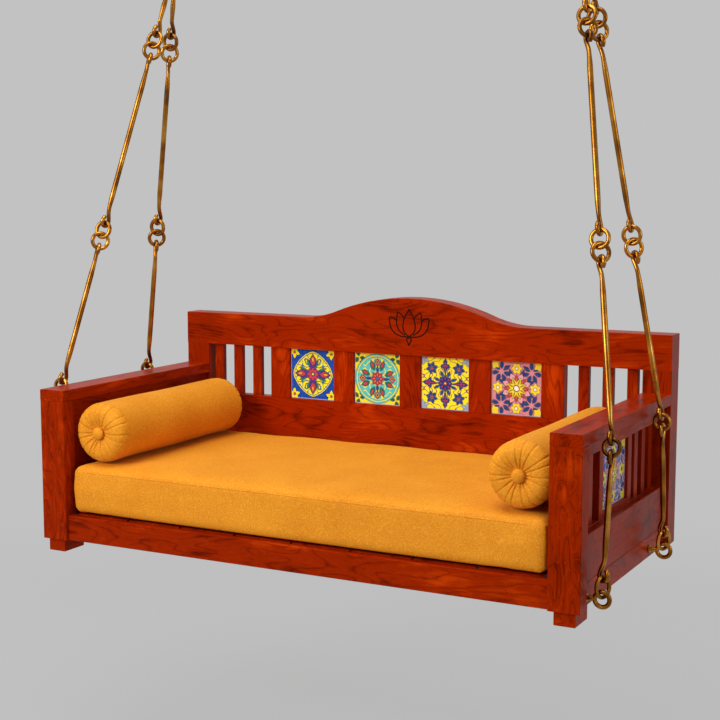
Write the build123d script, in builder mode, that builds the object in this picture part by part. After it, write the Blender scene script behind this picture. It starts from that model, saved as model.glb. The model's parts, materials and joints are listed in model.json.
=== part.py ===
"""Jhoola swing: a hardwood bench with tiled panels, hung on jointed brass rods."""
from build123d import *
from math import cos, radians, sin
import os

os.makedirs("parts", exist_ok=True)

# ---- Frame: the origin is on the ceiling, midway between the two hooks. X runs along the bench,
# ---- Y from the front to the back and Z up. All sizes are in millimetres.
drop = 1636.0                # ceiling down to the underside of the posts
hook_y = 413.5               # front of the bench back to the hooks, over its centre of mass
front = -hook_y              # y of the front of the bench
base = -drop                 # z of the underside of the posts

# ---- Bench frame
length = 1524.0
depth = 762.0
half = length / 2
post_w = 78.0                # along X
front_post_d = 45.0
rear_post_d = 67.0
inner = half - post_w        # x of the posts' inner faces
back = front + depth
rear_post_y = back - rear_post_d
panel_start = front + front_post_d
panel_run = rear_post_y - panel_start
arm_h = 407.0                # top of the arm caps
cap_t = 30.0
post_h = arm_h - cap_t
edge = 1.5                   # eased edges

foot_w = 52.0
foot_d = 80.0
foot_h = 34.0
foot_setback = 9.0

rail_t = 35.0
front_rail_h = 67.0
front_rail_setback = 9.0
back_rail_setback = 15.0

# ---- Backrest
crest_under = 467.0          # underside of the crest rail
crest_end = 562.0            # top of the crest rail at its ends
crest_foot_x = 355.0         # where the wave leaves the level edge
crest_turn_x = 235.0         # where the hollow turns into the dome
crest_turn_rise = 23.0
back_low_rail_h = 130.0
back_low_rail_t = 34.0
back_low_top = 316.0
back_setback = 6.0           # rails and stiles behind the posts' front faces
back_stile_w = 66.0
back_stile_t = 30.0
back_tile_count = 4
tile_w = 150.0
tile_t = 8.0
tile_setback = 8.0           # tile face behind the stile face
tile_gap = 0.2
backer_t = 6.0
slat_w = 30.0
slat_t = 18.0
slat_setback = 6.0           # slat face behind the stile face
back_slats_side = 3
back_slat_pitch = 68.0
back_slat_space = 38.0       # between the outer stile and the first slat
stile_pitch = back_stile_w + tile_w
back_stile_end = (back_tile_count * stile_pitch + back_stile_w) / 2
back_slat_first = back_stile_end + back_slat_space + slat_w / 2

# ---- Arm panels
side_setback = 12.0          # side rail and board behind the posts' outer faces
side_rail_h = 55.0
side_board_h = 110.0
side_board_t = 22.0
ledger_t = 27.0
ledger_h = 40.0
arm_rail_h = 37.0
arm_rail_t = 36.0
arm_rail_outer = half - 21.0
arm_tile_w = 190.0
arm_tile_low = 177.0
arm_tile_h = 154.0
arm_tile_y = front + 350.0
arm_stile_w = 30.0
arm_stile_t = 24.0
arm_face = half - 35.0       # outer face of the arm stiles
front_bay_slats = 2
rear_bay_slats = 3
arm_panel_low = side_rail_h + side_board_h
arm_panel_h = post_h - arm_rail_h - arm_panel_low
arm_lining_t = 7.0           # boards behind the slats, on the seat's side

# ---- Seat
seat_slats = 8
seat_slat_w = 161.0
seat_slat_t = 12.0
seat_slat_pitch = 167.0
seat_sink = 9.0              # depth of the rebates that the seat boards lie in
seat_slat_front = front + 30.0
seat_slat_back = back - back_rail_setback - 5.0
bearer_t = 40.0
mattress_l = 1350.0
mattress_front = front + 12.0
mattress_back = rear_post_y - 4.0
mattress_low = front_rail_h - seat_sink + seat_slat_t + 0.4
mattress_h = 143.0
mattress_round = 22.0
bolster_r = 80.0
bolster_x = 597.0
bolster_front = front + 32.0
bolster_back = front + 640.0
bolster_round = 24.0
bolster_sides = 32
bolster_lift = 0.5
button_r = 14.0
button_h = 7.0
button_taper = 30.0

# ---- Brass links
# A wire is eight-sided and its bends are short flats, so a radius here is measured to a flat.
wire_sides = 8
ring_flats = 10              # flats round a ring
disc_sides = 16              # sides of a collar or washer
loop_flats = 8               # flats that a full turn of a rod's end loop would have
loop_span = range(-4, 3)     # corners of a loop, from its open tip to its shoulder
rod_r = 5.5                  # rods and the loops bent at their ends
loop_r = 14.0                # centre line of a rod's end loop
neck = 14.0
ring_r = 21.75               # centre line of the paired rings
ring_wire = 5.25
arm_ring_r = 19.5
arm_ring_wire = 5.0
arm_play = 0.2               # the line bends a little at each arm ring
link_r = 18.5                # end radius of the long links
link_straight = 10.0
link_wire = 4.75
link_play = 2.2              # a long link crosses its bolt aslant
bolt_eye_r = 17.5
bolt_wire = 5.5
shank_r = 6.0
shank_hole_r = 6.3
nut_bore_r = 6.15
collar_r = 10.0
collar_t = 4.0
washer_r = 12.0
washer_t = 2.5
nut_across = 19.0
nut_t = 10.0
bolt_tail = 4.0
gap = 0.3                    # play left between pieces that bear on each other
corner_play = 0.6            # and what the corners of two wires that cross need besides

strand_x = 789.0             # rods outside the arms
bolt_y = (front + 72.0, front + 566.0)
bolt_z = base + 22.0
arm_ring_y = (front + 120.0, front + 520.0)
arm_ring_z = {-1: base + 399.0, 1: base + 362.0}
hook_x = 600.0
mid_pair_z = base + 812.0
top_pair_z = base + 1336.0
ring_turn = -90.0            # compass turn of the upper ring of each pair
pair_turn = -45.0            # and of the lower ring
arm_ring_turn = -90.0
long_link_turn = -30.0

# ---- Ceiling fittings
plate_r = 45.0
plate_t = 6.0
plate_pcd = 64.0
plate_holes = 4
plate_hole_r = 2.75
plate_turn = 45.0            # of the screw holes
hook_wire = 6.0
hook_r = 17.0
hook_low = -74.0             # centre line of the bottom of the hook
hook_stem = 6.0              # straight wire below the collar
hook_span = range(-3, 3)     # corners of the hook's bowl, from its tip up to its stem
hook_collar_r = 11.0
hook_collar_t = 8.0
ceiling_ring_r = 30.0
ceiling_ring_wire = 6.0
top_loop_turn = 180 / ring_flats  # each top loop off the bottom of the ceiling ring, in degrees
top_loop_play = 1.3

ceiling_ring_z = hook_low + hook_wire + ceiling_ring_wire + gap - ceiling_ring_r

sides = (-1, 1)
rows = (0, 1)
names = {-1: "left", 1: "right"}
wire_turn = 180 / wire_sides     # turns a wire's section so that a flat faces each way


def compass(turn):
    """Level unit vector at a compass turn from +X, in degrees."""
    return Vector(cos(radians(turn)), sin(radians(turn)), 0)


def square_to(vector, along):
    """The part of a vector that is square to a direction, at unit length."""
    return (vector - along * vector.dot(along)).normalized()


def ring_plane(center, turn, along):
    """Plane of a ring that hangs in line with a rod and faces a compass turn."""
    return Plane(origin=center, x_dir=along, z_dir=square_to(compass(turn), along))


def bend(center, radius, outward, side, flats, corners):
    """Corners of a bend made of flats, of which a full turn has so many, one square to outward."""
    corner_r = radius / cos(radians(180 / flats))
    points = []
    for corner in corners:
        turn = radians(90 + (corner + 0.5) * 360 / flats)
        points.append(center + side * (corner_r * cos(turn)) + outward * (corner_r * sin(turn)))
    return points


def rod_corners(low, high, low_turn, high_turn):
    """Corners of a rod's centre line between two loop centres, with a loop bent round each."""
    along = (high - low).normalized()
    low_loop = loop_corners(low, along * -1, low_turn, along)
    high_loop = loop_corners(high, along, high_turn, along)
    reach = along * (loop_r + neck)
    return [*low_loop, low + reach, high - reach, *reversed(high_loop)]


def loop_corners(center, outward, turn, along):
    """Corners of a rod's end loop, from its open tip to its shoulder."""
    return bend(center, loop_r, outward, square_to(compass(turn), along), loop_flats, loop_span)


def facing_out(side, x, y, z):
    """Plane that faces outward from one end of the bench."""
    return Plane(origin=(side * x, y, z), x_dir=(0, 1, 0), z_dir=(side, 0, 0))


def facing_back(x, y, z):
    """Plane that faces the back of the bench, its x running along the bench."""
    return Plane(origin=(x, y, z), x_dir=(1, 0, 0), z_dir=(0, 1, 0))


def bearing(radius_a, wire_a, radius_b, wire_b):
    """Distance between the centres of two linked rings that pull against each other."""
    return radius_a + radius_b - wire_a - wire_b - gap - corner_play


class Strand:
    """Stations of the hanging line on one side and row, from the arm ring up to the ceiling ring."""

    def __init__(self, side, row):
        lean = (-1, 1)[row]
        self.arm_ring = Vector(side * strand_x, arm_ring_y[row], arm_ring_z[side])
        turn = radians(top_loop_turn)
        ring_y = lean * ceiling_ring_r * sin(turn)
        self.apex = Vector(side * hook_x, ring_y, ceiling_ring_z - ceiling_ring_r * cos(turn))
        self.along = (self.apex - self.arm_ring).normalized()
        rise = self.along.Z
        pair_half = bearing(ring_r, ring_wire, ring_r, ring_wire) / 2
        hitch = bearing(ring_r, ring_wire, loop_r, rod_r)
        mid = self.arm_ring + self.along * ((mid_pair_z - arm_ring_z[side]) / rise)
        top = self.arm_ring + self.along * ((top_pair_z - arm_ring_z[side]) / rise)
        self.mid_low = mid - self.along * pair_half
        self.mid_high = mid + self.along * pair_half
        self.top_low = top - self.along * pair_half
        self.top_high = top + self.along * pair_half
        arm_hitch = bearing(arm_ring_r, arm_ring_wire, loop_r, rod_r) - arm_play
        self.middle = (self.arm_ring + self.along * arm_hitch, self.mid_low - self.along * hitch)
        self.upper = (self.mid_high + self.along * hitch, self.top_low - self.along * hitch)
        apex_drop = loop_r - rod_r - ceiling_ring_wire - top_loop_play
        self.top = (self.top_high + self.along * hitch, self.apex - self.along * apex_drop)
        # the lower line, from the eye bolt up to the arm ring
        bolt = Vector(side * strand_x, bolt_y[row], bolt_z)
        self.lower_along = (self.arm_ring - bolt).normalized()
        link_half = link_straight / 2 + link_r
        link_rise = bolt_eye_r + link_half - bolt_wire - link_wire - link_play - corner_play
        self.link = bolt + self.lower_along * link_rise
        link_hitch = link_half + loop_r - link_wire - rod_r - gap - corner_play
        low = self.link + self.lower_along * link_hitch
        self.lower = (low, self.arm_ring - self.lower_along * arm_hitch)
        self.arm_line = (self.along + self.lower_along).normalized()
        self.bolt = bolt


strands = {side: [Strand(side, row) for row in rows] for side in sides}
lines = strands[-1] + strands[1]


# ================= Ceiling fittings =================
with BuildPart() as ceiling_plates:
    for side in sides:
        middle = side * hook_x
        rim = middle + plate_r
        bevel = plate_t / 2
        with BuildSketch(Plane.XZ):
            with BuildLine():
                rim_low = Polyline((middle, 0), (rim, 0), (rim, -bevel), (rim - bevel, -plate_t))
                Polyline(rim_low @ 1, (middle, -plate_t), (middle, 0))
            make_face()
        revolve(axis=Axis((middle, 0, 0), (0, 0, 1)))
        with Locations(Plane(origin=(middle, 0, -plate_t), z_dir=(0, 0, -1))):
            with PolarLocations(plate_pcd / 2, plate_holes, start_angle=plate_turn):
                Hole(plate_hole_r, depth=plate_t)

with BuildPart() as ceiling_hooks:
    for side in sides:
        stem_top = Vector(side * hook_x, 0, -plate_t)
        stem_low = stem_top - Vector(0, 0, hook_collar_t + hook_stem)
        bowl = Vector(side * hook_x, 0, hook_low + hook_r)
        hook_bowl = bend(bowl, hook_r, Vector(0, 0, -1), Vector(side, 0, 0), loop_flats, hook_span)
        with BuildLine() as hook_path:
            Polyline(stem_top, stem_low, *reversed(hook_bowl))
        with BuildSketch(Plane(origin=stem_top, x_dir=(0, 1, 0), z_dir=(0, 0, -1))):
            RegularPolygon(hook_wire, wire_sides, major_radius=False, rotation=wire_turn)
        sweep(path=hook_path.wire(), transition=Transition.RIGHT)
        with Locations(stem_top - Vector(0, 0, hook_collar_t / 2)):
            Cylinder(hook_collar_r, hook_collar_t)


def build_link(radius, wire, straight=0):
    """A ring of wire in the XY plane, or a long link where it has straight sides along X."""
    quarter = ring_flats // 4
    corners = range(-quarter - 1 if straight else -quarter, quarter + 1)
    outline = []
    for end in sides:
        center = Vector(end * straight / 2, 0, 0)
        outline += bend(center, radius, Vector(end, 0, 0), Vector(0, -end, 0), ring_flats, corners)
    with BuildPart() as link:
        with BuildLine() as link_path:
            Polyline(*outline, close=True)
        with BuildSketch(Plane(origin=(straight / 2 + radius, 0, 0), x_dir=(1, 0, 0), z_dir=(0, 1, 0))):
            RegularPolygon(wire, wire_sides, major_radius=False, rotation=wire_turn)
        sweep(path=link_path.wire(), transition=Transition.RIGHT)
    return link


def place_links(link, planes):
    """Copies of a link on the given planes."""
    with BuildPart() as links:
        with Locations(*planes):
            add(link.part)
    return links


def build_rods(spans):
    """Rods given as (low loop, high loop, low turn, high turn)."""
    with BuildPart() as rods:
        for low, high, low_turn, high_turn in spans:
            with BuildLine() as rod_path:
                Polyline(*rod_corners(low, high, low_turn, high_turn))
            start = rod_path.wire() @ 0
            across = square_to(compass(low_turn), (high - low).normalized()).cross(high - low)
            with BuildSketch(Plane(origin=start, x_dir=across, z_dir=rod_path.wire() % 0)):
                RegularPolygon(rod_r, wire_sides, major_radius=False, rotation=wire_turn)
            sweep(path=rod_path.wire(), transition=Transition.RIGHT)
    return rods


ceiling_ring = build_link(ceiling_ring_r, ceiling_ring_wire)
ring_up = (0, sin(radians(top_loop_turn)), cos(radians(top_loop_turn)))
ceiling_ring_centers = [(side * hook_x, 0, ceiling_ring_z) for side in sides]
ceiling_ring_planes = [Plane(origin=c, x_dir=ring_up, z_dir=(1, 0, 0)) for c in ceiling_ring_centers]
ceiling_rings = place_links(ceiling_ring, ceiling_ring_planes)

# ================= Hanging lines above the arms, left and right =================
small_ring = build_link(ring_r, ring_wire)
hangers = {}
for side, name in names.items():
    pair = strands[side]
    hangers[f"{name}_top_rods"] = build_rods([(*line.top, ring_turn, 0) for line in pair])
    hangers[f"{name}_upper_rods"] = build_rods([(*line.upper, ring_turn, pair_turn) for line in pair])
    hangers[f"{name}_middle_rods"] = build_rods([(*line.middle, arm_ring_turn, pair_turn) for line in pair])
    top_planes = [ring_plane(line.top_high, ring_turn, line.along) for line in pair]
    top_planes += [ring_plane(line.top_low, pair_turn, line.along) for line in pair]
    mid_planes = [ring_plane(line.mid_high, ring_turn, line.along) for line in pair]
    mid_planes += [ring_plane(line.mid_low, pair_turn, line.along) for line in pair]
    hangers[f"{name}_top_rings"] = place_links(small_ring, top_planes)
    hangers[f"{name}_mid_rings"] = place_links(small_ring, mid_planes)

# ================= Lines below the arm rings =================
lower_rods = build_rods([(*line.lower, long_link_turn, arm_ring_turn) for line in lines])
arm_ring_planes = [ring_plane(line.arm_ring, arm_ring_turn, line.arm_line) for line in lines]
arm_rings = place_links(build_link(arm_ring_r, arm_ring_wire), arm_ring_planes)

long_link_planes = [ring_plane(line.link, long_link_turn, line.lower_along) for line in lines]
long_links = place_links(build_link(link_r, link_wire, link_straight), long_link_planes)

bolt_face = half - side_setback
bolt_eye = build_link(bolt_eye_r, bolt_wire)
with BuildPart() as eye_bolts:
    for line in lines:
        side = 1 if line.bolt.X > 0 else -1
        tail = bolt_face - rail_t - washer_t - nut_t - bolt_tail
        root_x = abs(line.bolt.X) - bolt_eye_r
        with Locations(Plane(origin=line.bolt, x_dir=(0, 0, 1), z_dir=(0, 1, 0))):
            add(bolt_eye.part)
        with BuildSketch(facing_out(side, root_x, line.bolt.Y, line.bolt.Z)):
            RegularPolygon(shank_r, wire_sides)
        extrude(amount=tail - root_x)
        with BuildSketch(facing_out(side, bolt_face, line.bolt.Y, line.bolt.Z)):
            RegularPolygon(collar_r, disc_sides)
        extrude(amount=collar_t)

with BuildPart() as washers:
    for line in lines:
        side = 1 if line.bolt.X > 0 else -1
        with BuildSketch(facing_out(side, bolt_face - rail_t, line.bolt.Y, line.bolt.Z)):
            RegularPolygon(washer_r, disc_sides)
            RegularPolygon(shank_hole_r, wire_sides, mode=Mode.SUBTRACT)
        extrude(amount=-washer_t)

with BuildPart() as nuts:
    for line in lines:
        side = 1 if line.bolt.X > 0 else -1
        with BuildSketch(facing_out(side, bolt_face - rail_t - washer_t, line.bolt.Y, line.bolt.Z)):
            RegularPolygon(nut_across / 2, 6, major_radius=False)
            RegularPolygon(nut_bore_r, wire_sides, mode=Mode.SUBTRACT)
        extrude(amount=-nut_t)

# ================= Posts and feet =================
with BuildPart() as front_posts:
    with BuildSketch(Plane.XY.offset(base)) as front_post_plan:
        for side in sides:
            with Locations((side * (half - post_w / 2), front + front_post_d / 2)):
                Rectangle(post_w, front_post_d)
        chamfer(front_post_plan.vertices(), length=edge)
    extrude(amount=post_h)

with BuildPart() as rear_posts:
    with BuildSketch(Plane.XY.offset(base)) as rear_post_plan:
        for side in sides:
            with Locations((side * (half - post_w / 2), rear_post_y + rear_post_d / 2)):
                Rectangle(post_w, rear_post_d)
        chamfer(rear_post_plan.vertices(), length=edge)
    extrude(amount=crest_under)

with BuildPart() as feet:
    with BuildSketch(Plane.XY.offset(base)) as foot_plan:
        for side in sides:
            with Locations((side * (half - post_w / 2), front + foot_setback + foot_d / 2)):
                Rectangle(foot_w, foot_d)
    extrude(amount=-foot_h)
    chamfer(feet.faces().sort_by(Axis.Z)[:2].edges(), length=edge)

# ================= Arms =================
arm_caps = {}
for side, name in names.items():
    with BuildPart() as arm_cap:
        with BuildSketch(Plane.XZ.offset(-rear_post_y)) as cap_section:
            with Locations((side * (half - post_w / 2), base + post_h + cap_t / 2)):
                Rectangle(post_w, cap_t)
            fillet(cap_section.vertices().group_by(Axis.Y)[-1], radius=2 * edge)
            chamfer(cap_section.vertices().group_by(Axis.Y)[0], length=edge)
        extrude(amount=rear_post_y - front)
        chamfer(arm_cap.faces().sort_by(Axis.Y)[0].edges(), length=edge / 2)
    arm_caps[f"{name}_arm_cap"] = arm_cap

with BuildPart() as arm_rails:
    with BuildSketch(Plane.XZ.offset(-rear_post_y)) as arm_rail_section:
        for side in sides:
            with Locations((side * (arm_rail_outer - arm_rail_t / 2), base + post_h - arm_rail_h / 2)):
                Rectangle(arm_rail_t, arm_rail_h)
        chamfer(arm_rail_section.vertices().group_by(Axis.Y)[0], length=edge)
    extrude(amount=panel_run)

with BuildPart() as side_boards:
    with BuildSketch(Plane.XZ.offset(-rear_post_y)) as side_board_section:
        side_board_x = half - side_setback - side_board_t / 2
        for side in sides:
            with Locations((side * side_board_x, base + side_rail_h + side_board_h / 2)):
                Rectangle(side_board_t, side_board_h)
        chamfer(side_board_section.vertices(), length=edge)
    extrude(amount=panel_run)

with BuildPart() as arm_ledgers:
    with BuildSketch(Plane.XZ.offset(-rear_post_y)) as ledger_section:
        for side in sides:
            ledger_x = half - side_setback - side_board_t - ledger_t / 2
            with Locations((side * ledger_x, base + arm_panel_low - ledger_h / 2)):
                Rectangle(ledger_t, ledger_h)
        chamfer(ledger_section.vertices().group_by(Axis.Y)[-1], length=edge)
    extrude(amount=panel_run)

with BuildPart() as side_rails:
    with BuildSketch(Plane.XZ.offset(-rear_post_y)) as side_rail_section:
        for side in sides:
            with Locations((side * (half - side_setback - rail_t / 2), base + side_rail_h / 2)):
                Rectangle(rail_t, side_rail_h)
        chamfer(side_rail_section.vertices(), length=edge)
    extrude(amount=panel_run)
    with BuildSketch(facing_out(1, half, 0, 0)):
        for y in bolt_y:
            with Locations((y, bolt_z)):
                RegularPolygon(shank_hole_r, wire_sides)
    extrude(amount=-2 * half, mode=Mode.SUBTRACT)

stile_offset = (arm_tile_w + arm_stile_w) / 2
with BuildPart() as arm_stiles:
    with BuildSketch(Plane.XY.offset(base + arm_panel_low)) as arm_stile_plan:
        for side in sides:
            for step in sides:
                with Locations((side * (arm_face - arm_stile_t / 2), arm_tile_y + step * stile_offset)):
                    Rectangle(arm_stile_t, arm_stile_w)
        chamfer(arm_stile_plan.vertices(), length=edge)
    extrude(amount=arm_panel_h)

with BuildPart() as arm_tile_strips:
    low_strip = arm_tile_low - arm_panel_low
    high_strip = arm_panel_h - low_strip - arm_tile_h
    for z, height in ((arm_panel_low, low_strip), (arm_tile_low + arm_tile_h, high_strip)):
        with BuildSketch(Plane.XY.offset(base + z)):
            for side in sides:
                with Locations((side * (arm_face - arm_stile_t / 2), arm_tile_y)):
                    Rectangle(arm_stile_t, arm_tile_w)
        extrude(amount=height)

arm_tile_z = base + arm_tile_low + arm_tile_h / 2
arm_tiles = {}
for side, name in names.items():
    with BuildPart() as arm_tile:
        with BuildSketch(facing_out(side, arm_face - tile_setback, arm_tile_y, arm_tile_z)):
            Rectangle(arm_tile_w - 2 * tile_gap, arm_tile_h - 2 * tile_gap)
        extrude(amount=-tile_t)
        chamfer(arm_tile.faces().sort_by(Axis.X, reverse=side > 0)[0].edges(), length=edge / 2)
    arm_tiles[f"{name}_arm_tile"] = arm_tile

with BuildPart() as arm_tile_backs:
    for side in sides:
        back_face = arm_face - tile_setback - tile_t - tile_gap
        with BuildSketch(facing_out(side, back_face, arm_tile_y, arm_tile_z)):
            Rectangle(arm_tile_w - 2 * tile_gap, arm_tile_h - 2 * tile_gap)
        extrude(amount=-backer_t)

frame_reach = stile_offset + arm_stile_w / 2
front_bay = (panel_start, arm_tile_y - frame_reach, front_bay_slats)
rear_bay = (arm_tile_y + frame_reach, rear_post_y, rear_bay_slats)
with BuildPart() as arm_slats:
    with BuildSketch(Plane.XY.offset(base + arm_panel_low)) as arm_slat_plan:
        for start, end, count in (front_bay, rear_bay):
            space = (end - start - count * slat_w) / (count + 1)
            for index in range(count):
                y = start + space + slat_w / 2 + index * (slat_w + space)
                for side in sides:
                    with Locations((side * (arm_face - arm_stile_t / 2), y)):
                        Rectangle(slat_t, slat_w)
        chamfer(arm_slat_plan.vertices(), length=edge)
    extrude(amount=arm_panel_h)

with BuildPart() as arm_linings:
    with BuildSketch(Plane.XZ.offset(-rear_post_y)) as lining_section:
        lining_x = arm_face - arm_stile_t - gap - arm_lining_t / 2
        for side in sides:
            with Locations((side * lining_x, base + (arm_panel_low + post_h) / 2)):
                Rectangle(arm_lining_t, post_h - arm_panel_low - 2 * gap)
        chamfer(lining_section.vertices(), length=edge)
    extrude(amount=panel_run)

# ================= Backrest =================
with BuildPart() as crest_rail:
    with BuildSketch(Plane.XZ.offset(-back)) as crest_outline:
        with BuildLine():
            under = base + crest_under
            top = base + crest_end
            turn_z = top + crest_turn_rise
            hollow = TangentArc((-crest_foot_x, top), (-crest_turn_x, turn_z), tangent=(1, 0))
            dome = TangentArc(hollow @ 1, (crest_turn_x, turn_z), tangent=hollow % 1)
            far_hollow = TangentArc(dome @ 1, (crest_foot_x, top), tangent=dome % 1)
            Polyline(far_hollow @ 1, (half, top), (half, under), (-half, under), (-half, top), hollow @ 0)
        make_face()
    extrude(amount=rear_post_d)
    rims = crest_rail.edges().filter_by(Axis.Y, reverse=True)
    chamfer(rims.filter_by(lambda rim: rim.center().Z > top - edge), length=edge)

with BuildPart() as back_low_rail:
    with BuildSketch(Plane.YZ.offset(-inner)) as low_rail_section:
        back_low_rail_y = rear_post_y + back_setback + back_low_rail_t / 2
        with Locations((back_low_rail_y, base + back_low_top - back_low_rail_h / 2)):
            Rectangle(back_low_rail_t, back_low_rail_h)
        chamfer(low_rail_section.vertices(), length=edge)
    extrude(amount=2 * inner)

with BuildPart() as back_bottom_rail:
    with BuildSketch(Plane.YZ.offset(-inner)) as bottom_rail_section:
        with Locations((back - back_rail_setback - rail_t / 2, base + front_rail_h / 2)):
            Rectangle(rail_t, front_rail_h)
        chamfer(bottom_rail_section.vertices(), length=edge)
        with Locations((seat_slat_back + gap, base + front_rail_h)):
            Rectangle(rail_t, 2 * seat_sink, align=(Align.MAX, Align.CENTER), mode=Mode.SUBTRACT)
    extrude(amount=2 * inner)

back_panel_h = crest_under - back_low_top
with BuildPart() as back_stiles:
    with BuildSketch(Plane.XY.offset(base + back_low_top)) as back_stile_plan:
        with Locations((0, rear_post_y + back_setback + back_stile_t / 2)):
            with GridLocations(stile_pitch, 0, back_tile_count + 1, 1):
                Rectangle(back_stile_w, back_stile_t)
        chamfer(back_stile_plan.vertices(), length=edge)
    extrude(amount=back_panel_h)

with BuildPart() as back_slats:
    slat_y = rear_post_y + back_setback + slat_setback + slat_t / 2
    with BuildSketch(Plane.XY.offset(base + back_low_top)) as back_slat_plan:
        for side in sides:
            for index in range(back_slats_side):
                with Locations((side * (back_slat_first + index * back_slat_pitch), slat_y)):
                    Rectangle(slat_w, slat_t)
        chamfer(back_slat_plan.vertices(), length=edge)
    extrude(amount=back_panel_h)

tile_z = base + back_low_top + back_panel_h / 2
tile_face_y = rear_post_y + back_setback + tile_setback
back_tiles = {}
for index in range(back_tile_count):
    with BuildPart() as back_tile:
        x = (index - (back_tile_count - 1) / 2) * stile_pitch
        with BuildSketch(facing_back(x, tile_face_y, tile_z)):
            Rectangle(tile_w - 2 * tile_gap, back_panel_h - 2 * tile_gap)
        extrude(amount=tile_t)
        chamfer(back_tile.faces().sort_by(Axis.Y)[0].edges(), length=edge / 2)
    back_tiles[f"back_tile_{index + 1}"] = back_tile

with BuildPart() as back_tile_backs:
    with BuildSketch(facing_back(0, tile_face_y + tile_t + tile_gap, tile_z)):
        with GridLocations(stile_pitch, 0, back_tile_count, 1):
            Rectangle(tile_w - 2 * tile_gap, back_panel_h - 2 * tile_gap)
    extrude(amount=backer_t)

# ================= Seat =================
with BuildPart() as front_rail:
    with BuildSketch(Plane.YZ.offset(-inner)) as front_rail_section:
        with Locations((front + front_rail_setback + rail_t / 2, base + front_rail_h / 2)):
            Rectangle(rail_t, front_rail_h)
        chamfer(front_rail_section.vertices(), length=edge)
        with Locations((seat_slat_front - gap, base + front_rail_h)):
            Rectangle(rail_t, 2 * seat_sink, align=(Align.MIN, Align.CENTER), mode=Mode.SUBTRACT)
    extrude(amount=2 * inner)

bearer_run = 2 * (half - side_setback - rail_t)
with BuildPart() as seat_bearer:
    with BuildSketch(Plane.YZ.offset(-bearer_run / 2)) as bearer_section:
        with Locations((front + depth / 2, base + (front_rail_h - seat_sink) / 2)):
            Rectangle(bearer_t, front_rail_h - seat_sink)
        chamfer(bearer_section.vertices(), length=edge)
    extrude(amount=bearer_run)

with BuildPart() as seat_boards:
    with BuildSketch(Plane.XY.offset(base + front_rail_h - seat_sink)) as seat_plan:
        with Locations((0, (seat_slat_front + seat_slat_back) / 2)):
            with GridLocations(seat_slat_pitch, 0, seat_slats, 1):
                Rectangle(seat_slat_w, seat_slat_back - seat_slat_front)
        chamfer(seat_plan.vertices(), length=edge)
    extrude(amount=seat_slat_t)

with BuildPart() as mattress:
    with BuildSketch(Plane.XY.offset(base + mattress_low)) as mattress_plan:
        with Locations((0, (mattress_front + mattress_back) / 2)):
            Rectangle(mattress_l, mattress_back - mattress_front)
        chamfer(mattress_plan.vertices(), length=mattress_round / 2)
    extrude(amount=mattress_h)
    chamfer(mattress.faces().sort_by(Axis.Z)[-1].edges(), length=mattress_round / 3)
    chamfer(mattress.faces().sort_by(Axis.Z)[0].edges(), length=mattress_round / 3)

bolster_z = base + mattress_low + mattress_h + bolster_r + bolster_lift
bolsters = {}
for side, name in names.items():
    with BuildPart() as bolster:
        with BuildSketch(Plane(origin=(side * bolster_x, bolster_back, bolster_z), z_dir=(0, -1, 0))):
            RegularPolygon(bolster_r, bolster_sides, major_radius=False, rotation=180 / bolster_sides)
        extrude(amount=bolster_back - bolster_front)
        ends = bolster.faces().sort_by(Axis.Y)
        chamfer(ends[0].edges() + ends[-1].edges(), length=bolster_round)
    bolsters[f"{name}_bolster"] = bolster
    with BuildPart() as buttons:
        for y, way in ((bolster_front, -1), (bolster_back, 1)):
            with BuildSketch(Plane(origin=(side * bolster_x, y + way * gap, bolster_z), z_dir=(0, way, 0))):
                Circle(button_r)
            extrude(amount=button_h, taper=button_taper)
    bolsters[f"{name}_bolster_buttons"] = buttons

# ================= Nodes =================
nodes = {
    "ceiling_plates": ceiling_plates,
    "ceiling_hooks": ceiling_hooks,
    "ceiling_rings": ceiling_rings,
    **hangers,
    "lower_rods": lower_rods,
    "arm_rings": arm_rings,
    "long_links": long_links,
    "eye_bolts": eye_bolts,
    "washers": washers,
    "nuts": nuts,
    "front_posts": front_posts,
    "rear_posts": rear_posts,
    "feet": feet,
    **arm_caps,
    "arm_rails": arm_rails,
    "side_boards": side_boards,
    "arm_ledgers": arm_ledgers,
    "side_rails": side_rails,
    "arm_stiles": arm_stiles,
    "arm_tile_strips": arm_tile_strips,
    **arm_tiles,
    "arm_tile_backs": arm_tile_backs,
    "arm_slats": arm_slats,
    "arm_linings": arm_linings,
    "crest_rail": crest_rail,
    "back_low_rail": back_low_rail,
    "back_bottom_rail": back_bottom_rail,
    "back_stiles": back_stiles,
    "back_slats": back_slats,
    **back_tiles,
    "back_tile_backs": back_tile_backs,
    "front_rail": front_rail,
    "seat_bearer": seat_bearer,
    "seat_boards": seat_boards,
    "mattress": mattress,
    **bolsters,
}
for node_name, built in nodes.items():
    built.part.label = node_name
    export_step(built.part, f"parts/{node_name}.step")
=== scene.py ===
"""Jhoola swing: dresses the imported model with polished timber, aged brass, painted tiles and cushions."""
from __future__ import annotations

import json
import logging
from dataclasses import dataclass, field
from enum import Enum
from math import atan2, cos, exp, hypot, pi, radians, sin
from typing import Callable, Sequence, Union

import bpy
from mathutils import Matrix, Vector
from mathutils.bvhtree import BVHTree

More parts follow.
